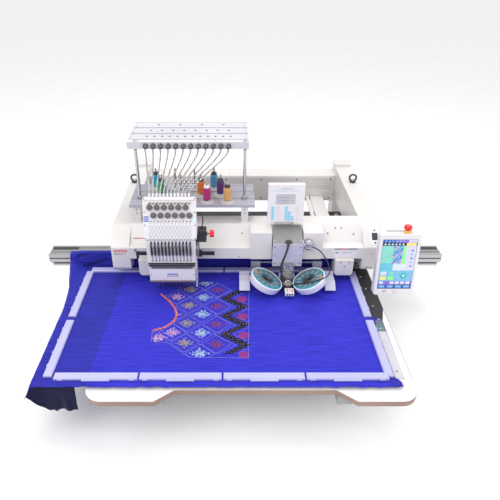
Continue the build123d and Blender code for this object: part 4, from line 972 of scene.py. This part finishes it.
def make_head_details():
    bm = bmesh.new()
    # tension panel: guides along the top edge, knobs, and the traced lattice below them
    box(bm, (-96, 57, 0), (96, 67, 1.2), 1, 0.5, PANEL)
    box(bm, (-99, 70, 0), (99, 71.6, 0.7), 8, place=PANEL)
    for x in PANEL_X:
        box(bm, (x - 4.2, 59, 1.2), (x + 4.2, 63, 4.5), 2, 0.8, PANEL)
        bar(bm, (x + 5, 65, 1), (x + 5, 65, 4.5), 1.6, 3, 10, place=PANEL)
        bar(bm, (x, PANEL_HALF + 3, -8), (x, PANEL_HALF + 14.5, -8), 4.6, 0, 14, tip=3.2, place=PANEL)
        lathe(bm, ((1.9, 0), (2.6, 1.6), (1.4, 2.6), (0.1, 2.8)), PANEL @ at(x + 4, -10, 0), 2, 12)
        box(bm, (x - 1.5, -18, 0), (x + 1.5, -15.5, 0.6), 3, place=PANEL)
    for height, shift in ((45, -7), (13.5, 7)):
        for i in range(6):
            knob = PANEL @ at((i - 2.5) * 28 + shift, height, 0)
            lathe(bm, ((10.8, 0), (12.0, 0.2), (12.0, 1.2), (10.8, 1.6)), knob, 3, 28)
            lathe(bm, ((10.3, 9.6), (9.4, 10.8), (7.2, 10.6), (6.6, 9.9)), knob, 4, 28)
            lathe(bm, ((3.6, 10), (3.2, 12.4), (0.1, 12.8)), knob, 3, 14)
            for k in range(24):
                tooth = knob @ spun(math.pi * k / 12)
                box(bm, (10.2, -0.6, 2), (11.2, 0.6, 9.2), 2, place=tooth)
    for i in range(13):
        x = (i - 6) * PITCH
        for row in range(5):
            y = -32 - 11.5 * row
            for side in (-1, 1):
                if abs(x + side * 7) > 88:
                    continue
                place = PANEL @ at(x + side * 3.5, y, 0) @ spun(side * (1 if row % 2 else -1) * 0.55)
                box(bm, (-0.6, -6.6, 0), (0.6, 6.6, 0.8), 9, place=place)
    for x in (-98, 98):
        for y in (26, -26, -78, 78):
            screw(bm, PANEL @ at(x, y, 0), 2.4, (2, 2))
    box(bm, (-101, -12, 0), (-82, 10, 0.6), 6, 0.2, PANEL)
    for k in range(6):
        x, y = -99 + 5.6 * (k % 3), -7 + 8 * (k // 3)
        box(bm, (x, y, 0.5), (x + 3.5, y + 4, 0.9), 1, place=PANEL)
    lathe(bm, ((6, 0), (6, 2), (4.5, 3.4), (0.1, 3.8)), PANEL @ at(93, -8, 0), 7, 20)
    looks = ["cap_white", "panel", "knob", "knob_ring", "knob_ring", "label_grey", "label_blue", "mint",
             "edge", "relief"]
    done(bm, "panel_fittings", looks, "needle_case")

    bm = bmesh.new()
    # case front: ribs between the slots, and in each slot its back, the stepped lever and the pins
    for i in range(13):
        x = -305 + (i - 6) * PITCH
        box(bm, (x - 1.3, -171.8, 432), (x + 1.3, -169.8, 522), 0, 0.6)
    for x in NEEDLE_X:
        box(bm, (x - 5.2, -165.6, 430), (x + 5.2, -164.2, 521), 0)
        if x != ACTIVE_X:
            box(bm, (x - 5.2, -169.6, 430), (x + 5.2, -165.4, 468), 0, 0.4)
            box(bm, (x - 0.7, -170.2, 432), (x + 0.7, -169.4, 466), 1)
            box(bm, (x + 2.2, -170.0, 434), (x + 3.0, -169.4, 464), 2)
        for low_x, high_x, low_z, high_z in (
            (-3.2, 3.2, 510, 521), (-3.4, -0.6, 496, 512), (-2.6, 2.4, 484, 497), (0.6, 3.0, 470, 486),
            (-0.6, 0.6, 432, 470),
        ):
            box(bm, (x + low_x, -167.4, low_z), (x + high_x, -165.4, high_z), 1, 0.6)
        box(bm, (x - 4.2, -167.0, 433), (x - 2.6, -165.4, 466), 3, 0.5)
        pin(bm, x, 524, -172, -168, 3.2, 3, 14)
        pin(bm, x, 437, -174, -169, 2.2, 3)
    box(bm, (-401, -172.4, 418.5), (-209, -169.8, 425.5), 1, 0.6)
    box(bm, (-398, -173.6, 399), (-212, -170, 408), 4, 0.6)
    box(bm, (-398, -174.5, 408), (-212, -170, 416.5), 2, 0.6)
    for x in NEEDLE_X:
        for side in (-1, 1):
            bar(bm, (x + side * 6.2, -176, 401), (x, -176, 413), 1.6, 2, 8)
        pin(bm, x, 406.5, -176.8, -174, 2.8, 2)
        pin(bm, x, 413.5, -175.8, -174, 1.6, 1, 10)
    # lower cover: dots over each foot, bronze strip, side screws, plain marks
    for x in NEEDLE_X:
        pin(bm, x, 350, -175.6, -174.9, 1.3, 2, 8)
    box(bm, (-401, -177.2, 334), (-209, -174.8, 343), 5, 0.8)
    screws(bm, [(x, -177.2, 338.5) for x in (-393, -217, -305)], 2.4, (3, 1))
    screws(bm, [(x, -175, 372) for x in (-393, -217)], 2.4, (3, 1))
    for i in range(5):
        box(bm, (-326 + 9 * i, -175.5, 368), (-320 + 9 * i, -174.9, 377), 6, 0.2)
    for i in range(6):
        box(bm, (-329 + 8.6 * i, -175.5, 361), (-323 + 8.6 * i, -174.9, 364.5), 7 if i % 2 else 6, 0.2)
    done(bm, "case_fittings", ["panel", "black", "dark", "chrome", "bars", "brown", "label_blue", "red"],
         "needle_case")

    bm = bmesh.new()
    # bracket and rail end at the case's right side
    box(bm, (-210.5, -163, 300), (-205, -108, 396), 0, 1.5)
    for z in (318, 344, 370):
        bar(bm, (-205, -135, z), (-203.6, -135, z), 3, 1, 12)
    box(bm, (-209.5, -160, 450), (-196, -108, 488), 3, 1.5)
    for i in range(3):
        box(bm, (-207.6 + 4 * i, -161.4, 453), (-205.4 + 4 * i, -159.5, 485), 2, 0.4)
    for i in range(8):
        box(bm, (-196.6, -157 + 6 * i, 453), (-194.8, -154 + 6 * i, 485), 2, 0.4)
    done(bm, "case_side_bracket", ["lavender", "chrome", "dark", "tray"], "needle_case")

    bm = bmesh.new()
    # cooling fins and end plate of the colour motor
    for i in range(6):
        x = -199 + 5.4 * i
        box(bm, (x, -141, 523), (x + 2.4, -139, 553), 0, 0.4)
        box(bm, (x, -137, 555.5), (x + 2.4, -101, 557.6), 0, 0.4)
    bar(bm, (-165, -115, 530), (-161.5, -115, 530), 9, 1, 20)
    done(bm, "motor_fins", ["black_plastic", "dark"], "needle_case")

    # presser springs and clamp screws on the needles
    for xs, name, body in (
        ([x for x in NEEDLE_X if x != ACTIVE_X], "idle_needle_fittings", "needle_case"),
        ([ACTIVE_X], "active_needle_fittings", "needle_bar"),
    ):
        bm = bmesh.new()
        for x in xs:
            pin(bm, x, 313, -128, -125.8, 2.2, 0, 10)
            lathe(bm, ((0.95, 300), (2.3, 302), (2.6, 305)), at(x, -121, 0), 0, 12)
            box(bm, (x - 3.3, -125, 306), (x + 3.3, -117.2, 315), 1, 0.6)
        done(bm, name, ["chrome", "dark"], body)


# ------------------------------------------------------------------ thread stand
SPOOL_TONES = (
    (-399, 200, "cyan"), (-366, 128, "green"), (-196, 128, "orange"), (-141, 200, "sky"),
    (-111, 128, "purple"), (-168, 62, "magenta"), (-81, 62, "peach"),
)
GUIDE_X = [-412 + 30.5 * i for i in range(12)]
TRAY_TOP, SPOOL_FOOT, RACK_TOP = 585, 590, 845


def sleeve_look(k, n):
    """Grey braid with a dark tracer, and black and white checks near the panel."""
    if k > 22:
        return 1 + (n // 2 + k) % 2
    return 1 if (n + k) % 5 == 0 else 0


def make_thread_stand():
    tones = sorted({tone for _, _, tone in SPOOL_TONES})
    for tone in tones:
        M["wound_" + tone] = thread("wound_" + tone, THREADS[tone], "DIAGONAL", 75, 0.42)
    looks = [*("wound_" + tone for tone in tones), "cap_white", "black_plastic"]
    bm = bmesh.new()
    for x, y, tone in SPOOL_TONES:
        place, wool = at(x, y, SPOOL_FOOT), tones.index(tone)
        lathe(bm, ((5.2, 0.4), (16.5, 0.4), (17, 1.5), (17, 3.5), (15.8, 4.6)), place, len(tones), 36)
        wound = []
        for k in range(45):
            z = 4.6 + 60 * k / 44
            taper = min(1.0, (z - 3) / 6, (69 - z) / 8)
            wound.append((15.9 * taper**0.4 + 0.35 * (k % 2), z))
        lathe(bm, wound, place, wool, 36)
        cap = len(tones) + (tone != "magenta")
        lathe(bm, ((13.5, 64), (12.4, 66), (11.2, 73.5), (9, 74.2), (5.2, 74.2)), place, cap, 28)
        for k in range(16):
            turn = 2 * math.pi * (k * 0.382)
            a, middle, b = (place @ on_circle(*point) for point in (
                (16.1, turn, 7), (17.2, turn + 0.45, 34.5), (16.1, turn + 0.9, 62)))
            bar(bm, a, middle, 0.35, wool, 5)
            bar(bm, middle, b, 0.35, wool, 5)
    spools = done(bm, "wound_spools", looks, "machine")
    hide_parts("spools")

    bm = bmesh.new()
    for y, wide, xs in (
        (62, 29, (-342, -255, -168, -81)),
        (128, 33, (-366, -282, -196, -111)),
        (200, 33, (-399, -313, -227, -141)),
    ):
        profile = ((5, 590.1), (wide - 3, 590.1), (wide - 1, 591), (wide + 0.6, 590), (wide + 0.6, 585.4))
        for x in xs:
            lathe(bm, profile, at(x, y, 0), 0, 36)
    done(bm, "spool_pads", ["pad"], "machine")

    bm = bmesh.new()
    for y in (96, 166, 228):
        box(bm, (-496, y - 0.6, TRAY_TOP), (35, y + 0.6, TRAY_TOP + 0.5), 1)
    screws(bm, [(x, y, TRAY_TOP) for x in (-485, 24) for y in (60, 150, 225)], 3.4, normal=UP)
    for x in (-458.5, -7.5):
        lathe(bm, ((13, TRAY_TOP), (13, 592), (9, 596), (6.6, 604)), at(x, 96, 0), 0, 24)
        lathe(bm, ((6.6, 806), (11, 812), (11, 818)), at(x, 96, 0), 0, 24)
        screws(bm, [(x, 96, RACK_TOP)], 5, normal=UP)
    for y_low, y_high in ((114, 182), (190, 258), (266, 339)):
        ends = y_low + 12, y_high - 12
        screws(bm, [(x, y, RACK_TOP) for x in (-478, -4) for y in ends], 3.2, normal=UP)
        box(bm, (-489, y_high - 1.2, 842.2), (7, y_high + 0.2, 845.4), 1, 0.3)
    for y, count in ((148, 12), (224, 8), (302, 4)):
        for i in range(count):
            x = -241 + (i - (count - 1) / 2) * 380 / count
            eyelet = ((4, 844), (5.2, 845.6), (3.6, 846.3), (3.4, 842))
            lathe(bm, eyelet, at(x, y, 0), 1, 16)
    done(bm, "stand_fittings", ["chrome", "dark"], "machine")

    bm = bmesh.new()
    for x in GUIDE_X:
        place = facing((x, 75, 830), FRONT)
        lathe(bm, ((11.2, 0), (11.2, 6.4), (10.2, 7.8), (7.4, 7.8), (6.8, 7.0)), place, 0, 28)
        lathe(bm, ((6.8, 7.0), (3.4, 7.2), (3, 9.6), (0.1, 9.8)), place, 1, 20)
        box(bm, (x - 9, 62, 841), (x - 1, 76, 843), 2, 0.5)
        box(bm, (x - 9, 62, 834), (x - 7.4, 66, 843), 2, 0.3)
        bar(bm, (x - 4, 68, 820), (x - 2, 63, 809), 1.8, 2, 12)
        lathe(bm, ((2.2, 811), (3.6, 813), (3.6, 818), (2.2, 820)), at(x, 64, 0), 2, 14)
    done(bm, "guide_discs", ["dark", "knob_ring", "chrome"], "machine")

    # the sleeves that carry each thread from its guide down to the panel
    bm = bmesh.new()
    for i, x in enumerate(GUIDE_X):
        # a Bezier curve from the guide, through two control points, to the panel's top edge
        a, d = Vector((x, 64, 816)), PANEL @ Vector((PANEL_X[i], PANEL_HALF + 15, -8))
        b, c = a + Vector((0, -4, -34)), d + PANEL.to_3x3() @ Vector((0, 30, 0))
        rings = []
        for k in range(37):
            t = k / 36
            point = (1 - t) ** 3 * a + 3 * t * (1 - t) ** 2 * b + 3 * t * t * (1 - t) * c + t**3 * d
            ahead = -3 * (1 - t) ** 2 * a + (3 * (1 - t) ** 2 - 6 * t * (1 - t)) * b
            ahead += (6 * t * (1 - t) - 3 * t * t) * c + 3 * t * t * d
            rings.append(tube_ring(bm, point, ahead, 2.95 if k % 2 else 2.6, 10))
        skin(bm, rings, sleeve_look)
    sleeves = made_of(bm, "thread_sleeves", ["sleeve", "black", "cap_white"])
    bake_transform(sleeves)
    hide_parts("thread_tubes")

    bm = bmesh.new()
    upper = {62: 148, 128: 224, 200: 302}
    tones = ["cyan", "green", "orange", "purple", "sky", "magenta", "peach", "silver"]
    for i, (x, y, tone) in enumerate(SPOOL_TONES):
        top = Vector((x + 6, y, 664))
        hole = Vector((max(-420, min(-60, x + 12 * (i - 3) * 0.4)), upper[y], 843))
        guide = Vector((GUIDE_X[(0, 1, 7, 8, 9, 10, 11)[i]], 67, 838))
        bar(bm, top, hole, 0.35, tones.index(tone), 6)
        bar(bm, hole + Vector((0, 0, 3)), guide, 0.35, tones.index(tone), 6)
    for i, x in enumerate((-350, -330, -268, -244, -214)):
        bar(bm, (x, 148, 843), (GUIDE_X[2 + i], 67, 838), 0.3, 7, 6)
    done(bm, "running_threads", tones, "machine")


# ------------------------------------------------------------------ bead head
BEAD_X, BOWL_OUT, BOWL_Y = 172.5, 90.5, -145  # the picker's X, and the bowls' middles beside it


def disc_place(side):
    """The middle of a bead bowl; own Z leans inward, towards the needle."""
    tip = math.radians(25)
    axis, flat = Vector((-side * math.sin(tip), 0, math.cos(tip))), Vector((0, 1, 0))
    turn = Matrix((flat, axis.cross(flat), axis)).transposed().to_4x4()
    return at(BEAD_X + side * BOWL_OUT, BOWL_Y, 322) @ turn


HOUSING_RISE, HOUSING_RUN = 39, 97


def housing_top(y):
    """Height of the bead housing's sloping top."""
    return 464 + (y + 85) * HOUSING_RISE / HOUSING_RUN


def make_bead_head_details():
    for side, name in ((-1, "left"), (1, "right")):
        place = disc_place(side)
        bm = bmesh.new()
        # rolled rim and dished underside of the bowl
        rim = ((66, 8.6), (67, 10.6), (69.6, 10.8), (71, 9), (71, 5), (69.4, -9), (67, -20.3))
        lathe(bm, rim, place, 0, 64)
        lathe(bm, ((67, -20.3), (40, -21.4), (18, -22), (0.1, -22)), place, 0, 48)
        # ring and pins of the lid's hinge
        lathe(bm, ((29, 9.4), (31.5, 11.2), (27, 11.6), (25, 9.6)), place, 1, 40)
        for k in range(3):
            screw(bm, place @ spun(2.1 * k + 0.5) @ at(58, 0, 10), 2.6, (2, 3))
        catch = place @ spun(-0.25 if side < 0 else 2.7)
        box(bm, (-9, 50, 9.6), (7, 60, 15), 4, 1.2, catch)
        done(bm, f"bead_bowl_trim_{name}", ["cap_white", "teal", "chrome", "dark", "orange"], "bead_head")
        bm = bmesh.new()
        lathe(bm, ((65.6, 8.8), (64.5, 10.4), (55, 11.8)), place, 1, 64)
        lathe(bm, ((55, 11.8), (44, 12.3), (32, 12.4), (30.6, 11)), place, 0, 64)
        done(bm, f"bead_lid_{name}", ["clear", "lid_band"], "bead_head")
        bm = bmesh.new()
        # turning parts: hub, spoke caps, and beads lying in the pockets
        lathe(bm, ((25.5, 7), (24, 9.8), (14, 10.2), (12.5, 4)), place, 0, 40)
        lathe(bm, ((12.4, 3), (6, 2.4), (0.1, 2.4)), place, 1, 28)
        rng = random.Random(11 + side)
        for k in range(12):
            turn = place @ spun(math.pi * k / 6)
            box(bm, (27, -0.9, 6.8), (62, 0.9, 7.8), 2, 0.3, turn)
            for _ in range(9):
                reach, swing = rng.uniform(29, 60), rng.uniform(0.1, 0.42)
                spot = turn @ spun(swing) @ at(reach, 0, -3.2)
                lathe(bm, ((0.7, 0), (1.5, 0.5), (1.5, 1.3), (0.7, 1.8)), spot, 3 + rng.randrange(3), 8)
        done(bm, f"bead_wheel_fill_{name}", ["dark", "black", "aqua", "cyan", "brown", "teal"],
             f"bead_wheel_{name}")

    bm = bmesh.new()
    # picker: knurled ring, funnel and foot between the bowls
    place = at(BEAD_X, -148, 0)
    ring = ((20.4, 288), (21.5, 290), (21.5, 308), (20, 312.4), (14, 313), (12, 309), (0.1, 308))
    lathe(bm, ring, place, 0, 40)
    for k in range(26):
        tooth = place @ spun(2 * math.pi * k / 26)
        box(bm, (20.5, -1.1, 290), (22.6, 1.1, 308), 1, 0.3, tooth)
        if 12 < k < 26:
            box(bm, (18.6, -0.7, 311.4), (20.6, 0.7, 313.2), 3, 0.2, tooth)
    lathe(bm, ((14.4, 313), (16.6, 314.6), (15, 315.2), (12.6, 313.4)), place, 2, 32)
    for k in range(8):
        screw(bm, place @ spun(math.pi * k / 4) @ at(17.6, 0, 312.4), 1.5, (2, 1))
    # cover of the bead gate with its coloured marks
    box(bm, (158, -205.5, 283.5), (195, -171.5, 300.5), 3, 1.4)
    for k, look in enumerate((4, 5, 6, 7, 5, 4)):
        x = 164 + 10.5 * (k % 3)
        y = -199 + 12 * (k // 3)
        box(bm, (x, y, 300.3), (x + 7, y + 8, 301.2), look, 0.3)
        box(bm, (x, -206.2, 287), (x + 6, -205.3, 294), (6, 7, 5)[k % 3], 0.2)
    # guide blocks on the column
    box(bm, (144, -111.5, 330), (201, -109, 352), 2, 1)
    screws(bm, [(x, -111.5, z) for x in (150, 195) for z in (336, 346)], 2.2, (2, 1))
    for x in (140, 198):
        box(bm, (x, -106, 303), (x + 7, -90, 324), 8, 1)
    bar(bm, (BEAD_X - 13, -112, 352), (BEAD_X - 13, -112, 368), 4.5, 2, 16)
    bar(bm, (BEAD_X + 14, -113, 330), (BEAD_X + 14, -113, 366), 2.5, 2, 12)
    looks = ["dark", "black", "chrome", "cap_white", "orange", "peach", "magenta", "green", "lavender"]
    done(bm, "bead_picker", looks, "bead_head")

    bm = bmesh.new()
    # housing: cover plate with a half-round hose mouth, screws and the connector's rings
    arc = [math.pi * k / 14 for k in range(15)]
    mouth = [(174.5 - 17 * math.cos(a), -82 + 17 * math.sin(a)) for a in arc]
    outline = [(112, -84.4), (157.5, -84.4), *mouth, (191.5, -84.4), (233, -84.4), (233, 10), (112, 10)]
    inner = [(157.5, -84.6), *mouth, (191.5, -84.6)]
    inner = [bm.verts.new((x, y, housing_top(y) + 0.3)) for x, y in inner]
    bm.faces.new(inner[::-1]).material_index = 1
    lower, upper = ([bm.verts.new((x, y, housing_top(y) + lift)) for x, y in outline] for lift in (-0.4, 0.9))
    plate = [bm.faces.new(upper)]
    for k in range(len(outline)):
        after = (k + 1) % len(outline)
        plate.append(bm.faces.new((lower[k], lower[after], upper[after], upper[k])))
    for face in plate:
        face.material_index = 3
    screws(bm, [(x, -85.2, z) for x in (119, 226) for z in (368, 448)], 3.4)
    screws(bm, [(x, -85.2, 408) for x in (119, 226)], 2.6)
    spots = [(x, y, housing_top(y) + 0.4) for y in (-70, 4) for x in (118, 227)]
    screws(bm, spots, 3, normal=(0, -HOUSING_RISE, HOUSING_RUN))
    box(bm, (112, -86.4, 354), (233, -85, 358), 2, 0.4)
    for x1, x2 in ((110.5, 162), (187, 234.5)):
        box(bm, (x1, -86.6, 459), (x2, -84.4, 463), 2, 0.6)
    plug = at(258.5, -76, 0)
    lathe(bm, ((15.3, 437), (16.6, 439), (16.6, 445), (15.3, 447)), plug, 0, 32)
    lathe(bm, ((15.3, 456), (16.2, 458), (16.2, 462), (15.3, 464)), plug, 0, 32)
    lathe(bm, ((15, 474), (12, 477), (8, 478.5), (0.1, 479)), plug, 0, 28)
    for k in range(18):
        box(bm, (15, -0.9, 447.5), (16.2, 0.9, 455.5), place=plug @ spun(math.pi * k / 9))
    bar(bm, (262, -76, 447), (277, -76.5, 443), 5.5, 0, 18, tip=3.6)
    # mouth of the hose and of the cable, as collars
    bar(bm, (163.5, -141, 315.4), (167, -144.5, 308.5), 7, 0, 20)
    bar(bm, (199, -155, 309.6), (192, -151.2, 306.6), 4, 0, 16)
    done(bm, "bead_housing_fittings", ["chrome", "black", "bars", "housing"], "bead_head")


# ------------------------------------------------------------------ displays
TABLET = leaning((595, -190.5, 433), 7.5)
LCD = leaning((163.5, 21, 606), 5)


def on_screen(u, v, z):
    """A point of the tablet's picture: u runs right and v down, both 0 to 1."""
    return -67 + 134 * u, 111 - 214 * v, z


def make_displays():
    bm = bmesh.new()
    box(bm, (-45.5, -6, 18.8), (39.5, 42, 19.3), 0, place=LCD)
    for k in range(3):
        box(bm, (-40 + 4 * k, 24 - 12 * k, 19.2), (20 - 6 * k, 27 - 12 * k, 19.4), 1, place=LCD)
    for row in range(6):
        y = -18 - 10.6 * row
        box(bm, (-61, y - 4, 20.8), (-49, y + 4, 21.9), 2, 0.4, LCD)
        for k in range(1 + (row > 1) + (row > 3)):
            box(bm, (-4 + 13 * k, y - 4, 20.8), (7.5 + 13 * k, y + 4, 21.9), 2, 0.4, LCD)
        box(bm, (-42, y - 0.8, 20.9), (-26 + 3 * (row % 3), y + 0.8, 21.3), 3, place=LCD)
        box(bm, (42, y - 0.8, 20.9), (56 - 3 * (row % 2), y + 0.8, 21.3), 3, place=LCD)
    for k in range(6):
        box(bm, (-22 + 8 * k, 63, 20.9), (-17 + 8 * k, 68, 21.3), 3, place=LCD)
    for k in range(14):
        box(bm, (-52 + 7.4 * k, 54, 20.9), (-47.5 + 7.4 * k, 57, 21.3), 2 if k % 3 else 3, place=LCD)
    for x in (-70, 70):
        for y in (-76, 76):
            screw(bm, LCD @ at(x, y, 21), 1.8, (4, 3))
    done(bm, "small_display_face", ["lcd", "lcd_ink", "key_blue", "label_grey", "cap_white"],
         "small_display")

    bm = bmesh.new()
    looks = [*UI, "chrome", "red"]
    index = places_of(looks)

    def patch(u1, v1, u2, v2, look, lift=0.0):
        """A lit patch of the tablet's picture."""
        box(bm, on_screen(u1, v2, 14.45), on_screen(u2, v1, 14.62 + lift), index[look], place=TABLET)

    for i in range(8):
        share = i / 8
        patch(share, 0, share + 0.125, 0.055, "ui_navy" if i < 3 else "ui_purple" if i < 6 else "ui_lilac")
    patch(0, 0.06, 0.7, 0.118, "ui_black")
    patch(0.7, 0.06, 0.98, 0.118, "ui_yellow")
    for i in range(6):
        patch(0.06 + 0.105 * i, 0.015, 0.11 + 0.105 * i, 0.04, "ui_sky", 0.1)
        patch(0.05 + 0.105 * i, 0.075, 0.10 + 0.105 * i, 0.105, "ui_white", 0.1)
    for row in range(10):
        for column in range(8):
            tone = "ui_mint" if column < 3 else "ui_sky" if column < 5 else "ui_lilac"
            if row > 6:
                tone = "ui_cyan" if column < 3 else "ui_white"
            patch(column / 8, 0.12 + 0.05 * row, (column + 1) / 8, 0.17 + 0.05 * row, tone)
    patch(0.62, 0.13, 0.72, 0.49, "ui_green", 0.05)
    patch(0.76, 0.13, 0.96, 0.60, "ui_lilac", 0.05)
    for row in range(9):
        for column in range(3):
            tone = ("ui_purple", "ui_pink", "ui_teal", "ui_navy")[(row + column) % 4]
            middle = on_screen(0.36 + 0.09 * column + 0.04 * (row % 2), 0.15 + 0.04 * row, 14.7)
            diamond = TABLET @ at(*middle) @ spun(math.pi / 4)
            box(bm, (-3.6, -3.6, 0), (3.6, 3.6, 0.2), index[tone], place=diamond)
    for k in range(5):
        patch(0.86, 0.2 + 0.08 * k, 0.93, 0.225 + 0.08 * k, ("ui_navy", "ui_cyan")[k % 2], 0.1)
    for button in (
        (0, 0.62, 1, 0.84, "ui_cyan", 0.02), (0.5, 0.62, 1, 0.84, "ui_sky", 0.05),
        (0.04, 0.645, 0.22, 0.72, "ui_lilac", 0.15), (0.3, 0.65, 0.44, 0.72, "ui_mint", 0.15),
        (0.04, 0.745, 0.22, 0.82, "ui_yellow", 0.15), (0.28, 0.745, 0.44, 0.82, "ui_green", 0.15),
        (0, 0.84, 1, 0.915, "ui_purple", 0.02),
    ):
        patch(*button)
    for k in range(6):
        patch(0.03 + 0.16 * k, 0.85, 0.15 + 0.16 * k, 0.905, "ui_purple" if k == 1 else "ui_white", 0.12)
    patch(0, 0.92, 1, 1, "ui_navy")
    for k in range(4):
        patch(0.04 + 0.25 * k, 0.935, 0.2 + 0.25 * k, 0.98, "ui_sky", 0.1)
    dial = TABLET @ at(*on_screen(0.73, 0.73, 14.6))
    lathe(bm, ((20, 0), (19, 0.4), (14.5, 0.4), (13.5, 0)), dial, index["ui_cyan"], 40)
    lathe(bm, ((13, 0), (12, 0.4), (0.1, 0.4)), dial, index["ui_teal"], 32)
    lathe(bm, ((5, 0.4), (4, 0.7), (0.1, 0.7)), dial, index["ui_white"], 20)
    home = TABLET @ at(4, -118, 14.9)
    lathe(bm, ((6.3, 0), (7.4, 0.5), (6.3, 0.9)), home, index["chrome"], 28)
    for k, (x, y) in enumerate(((-48, -119), (-41, -119), (-34, -119), (-41, -113))):
        box(bm, (x, y, 14.9), (x + 5, y + 4, 15.3), index["red"], 0.2, TABLET)
    done(bm, "tablet_picture", looks, "tablet")

    bm = bmesh.new()
    stem = TABLET @ at(28, 134, -2) @ Matrix.Rotation(-math.pi / 2, 4, "X")
    lathe(bm, ((13.3, 1), (13.6, 5), (13.3, 10.6), (12, 11.4), (8, 11.6)), stem, 0, 36)
    for k in range(3):
        box(bm, (-81.6, -60 + 24 * k, -4), (-82.4, -48 + 24 * k, 4), 1, place=TABLET)
    done(bm, "stop_collar", ["amber", "label_grey"], "tablet")


make_stage()
make_cords()
dress_frame()
dress_bead_mounts()
make_stretched_cloth()
make_gathered_cloth(make_beam_cloth())
make_hanging_cloth()
make_embroidery()
make_table_details()
make_bridge_details()
make_head_details()
make_thread_stand()
make_bead_head_details()
make_displays()
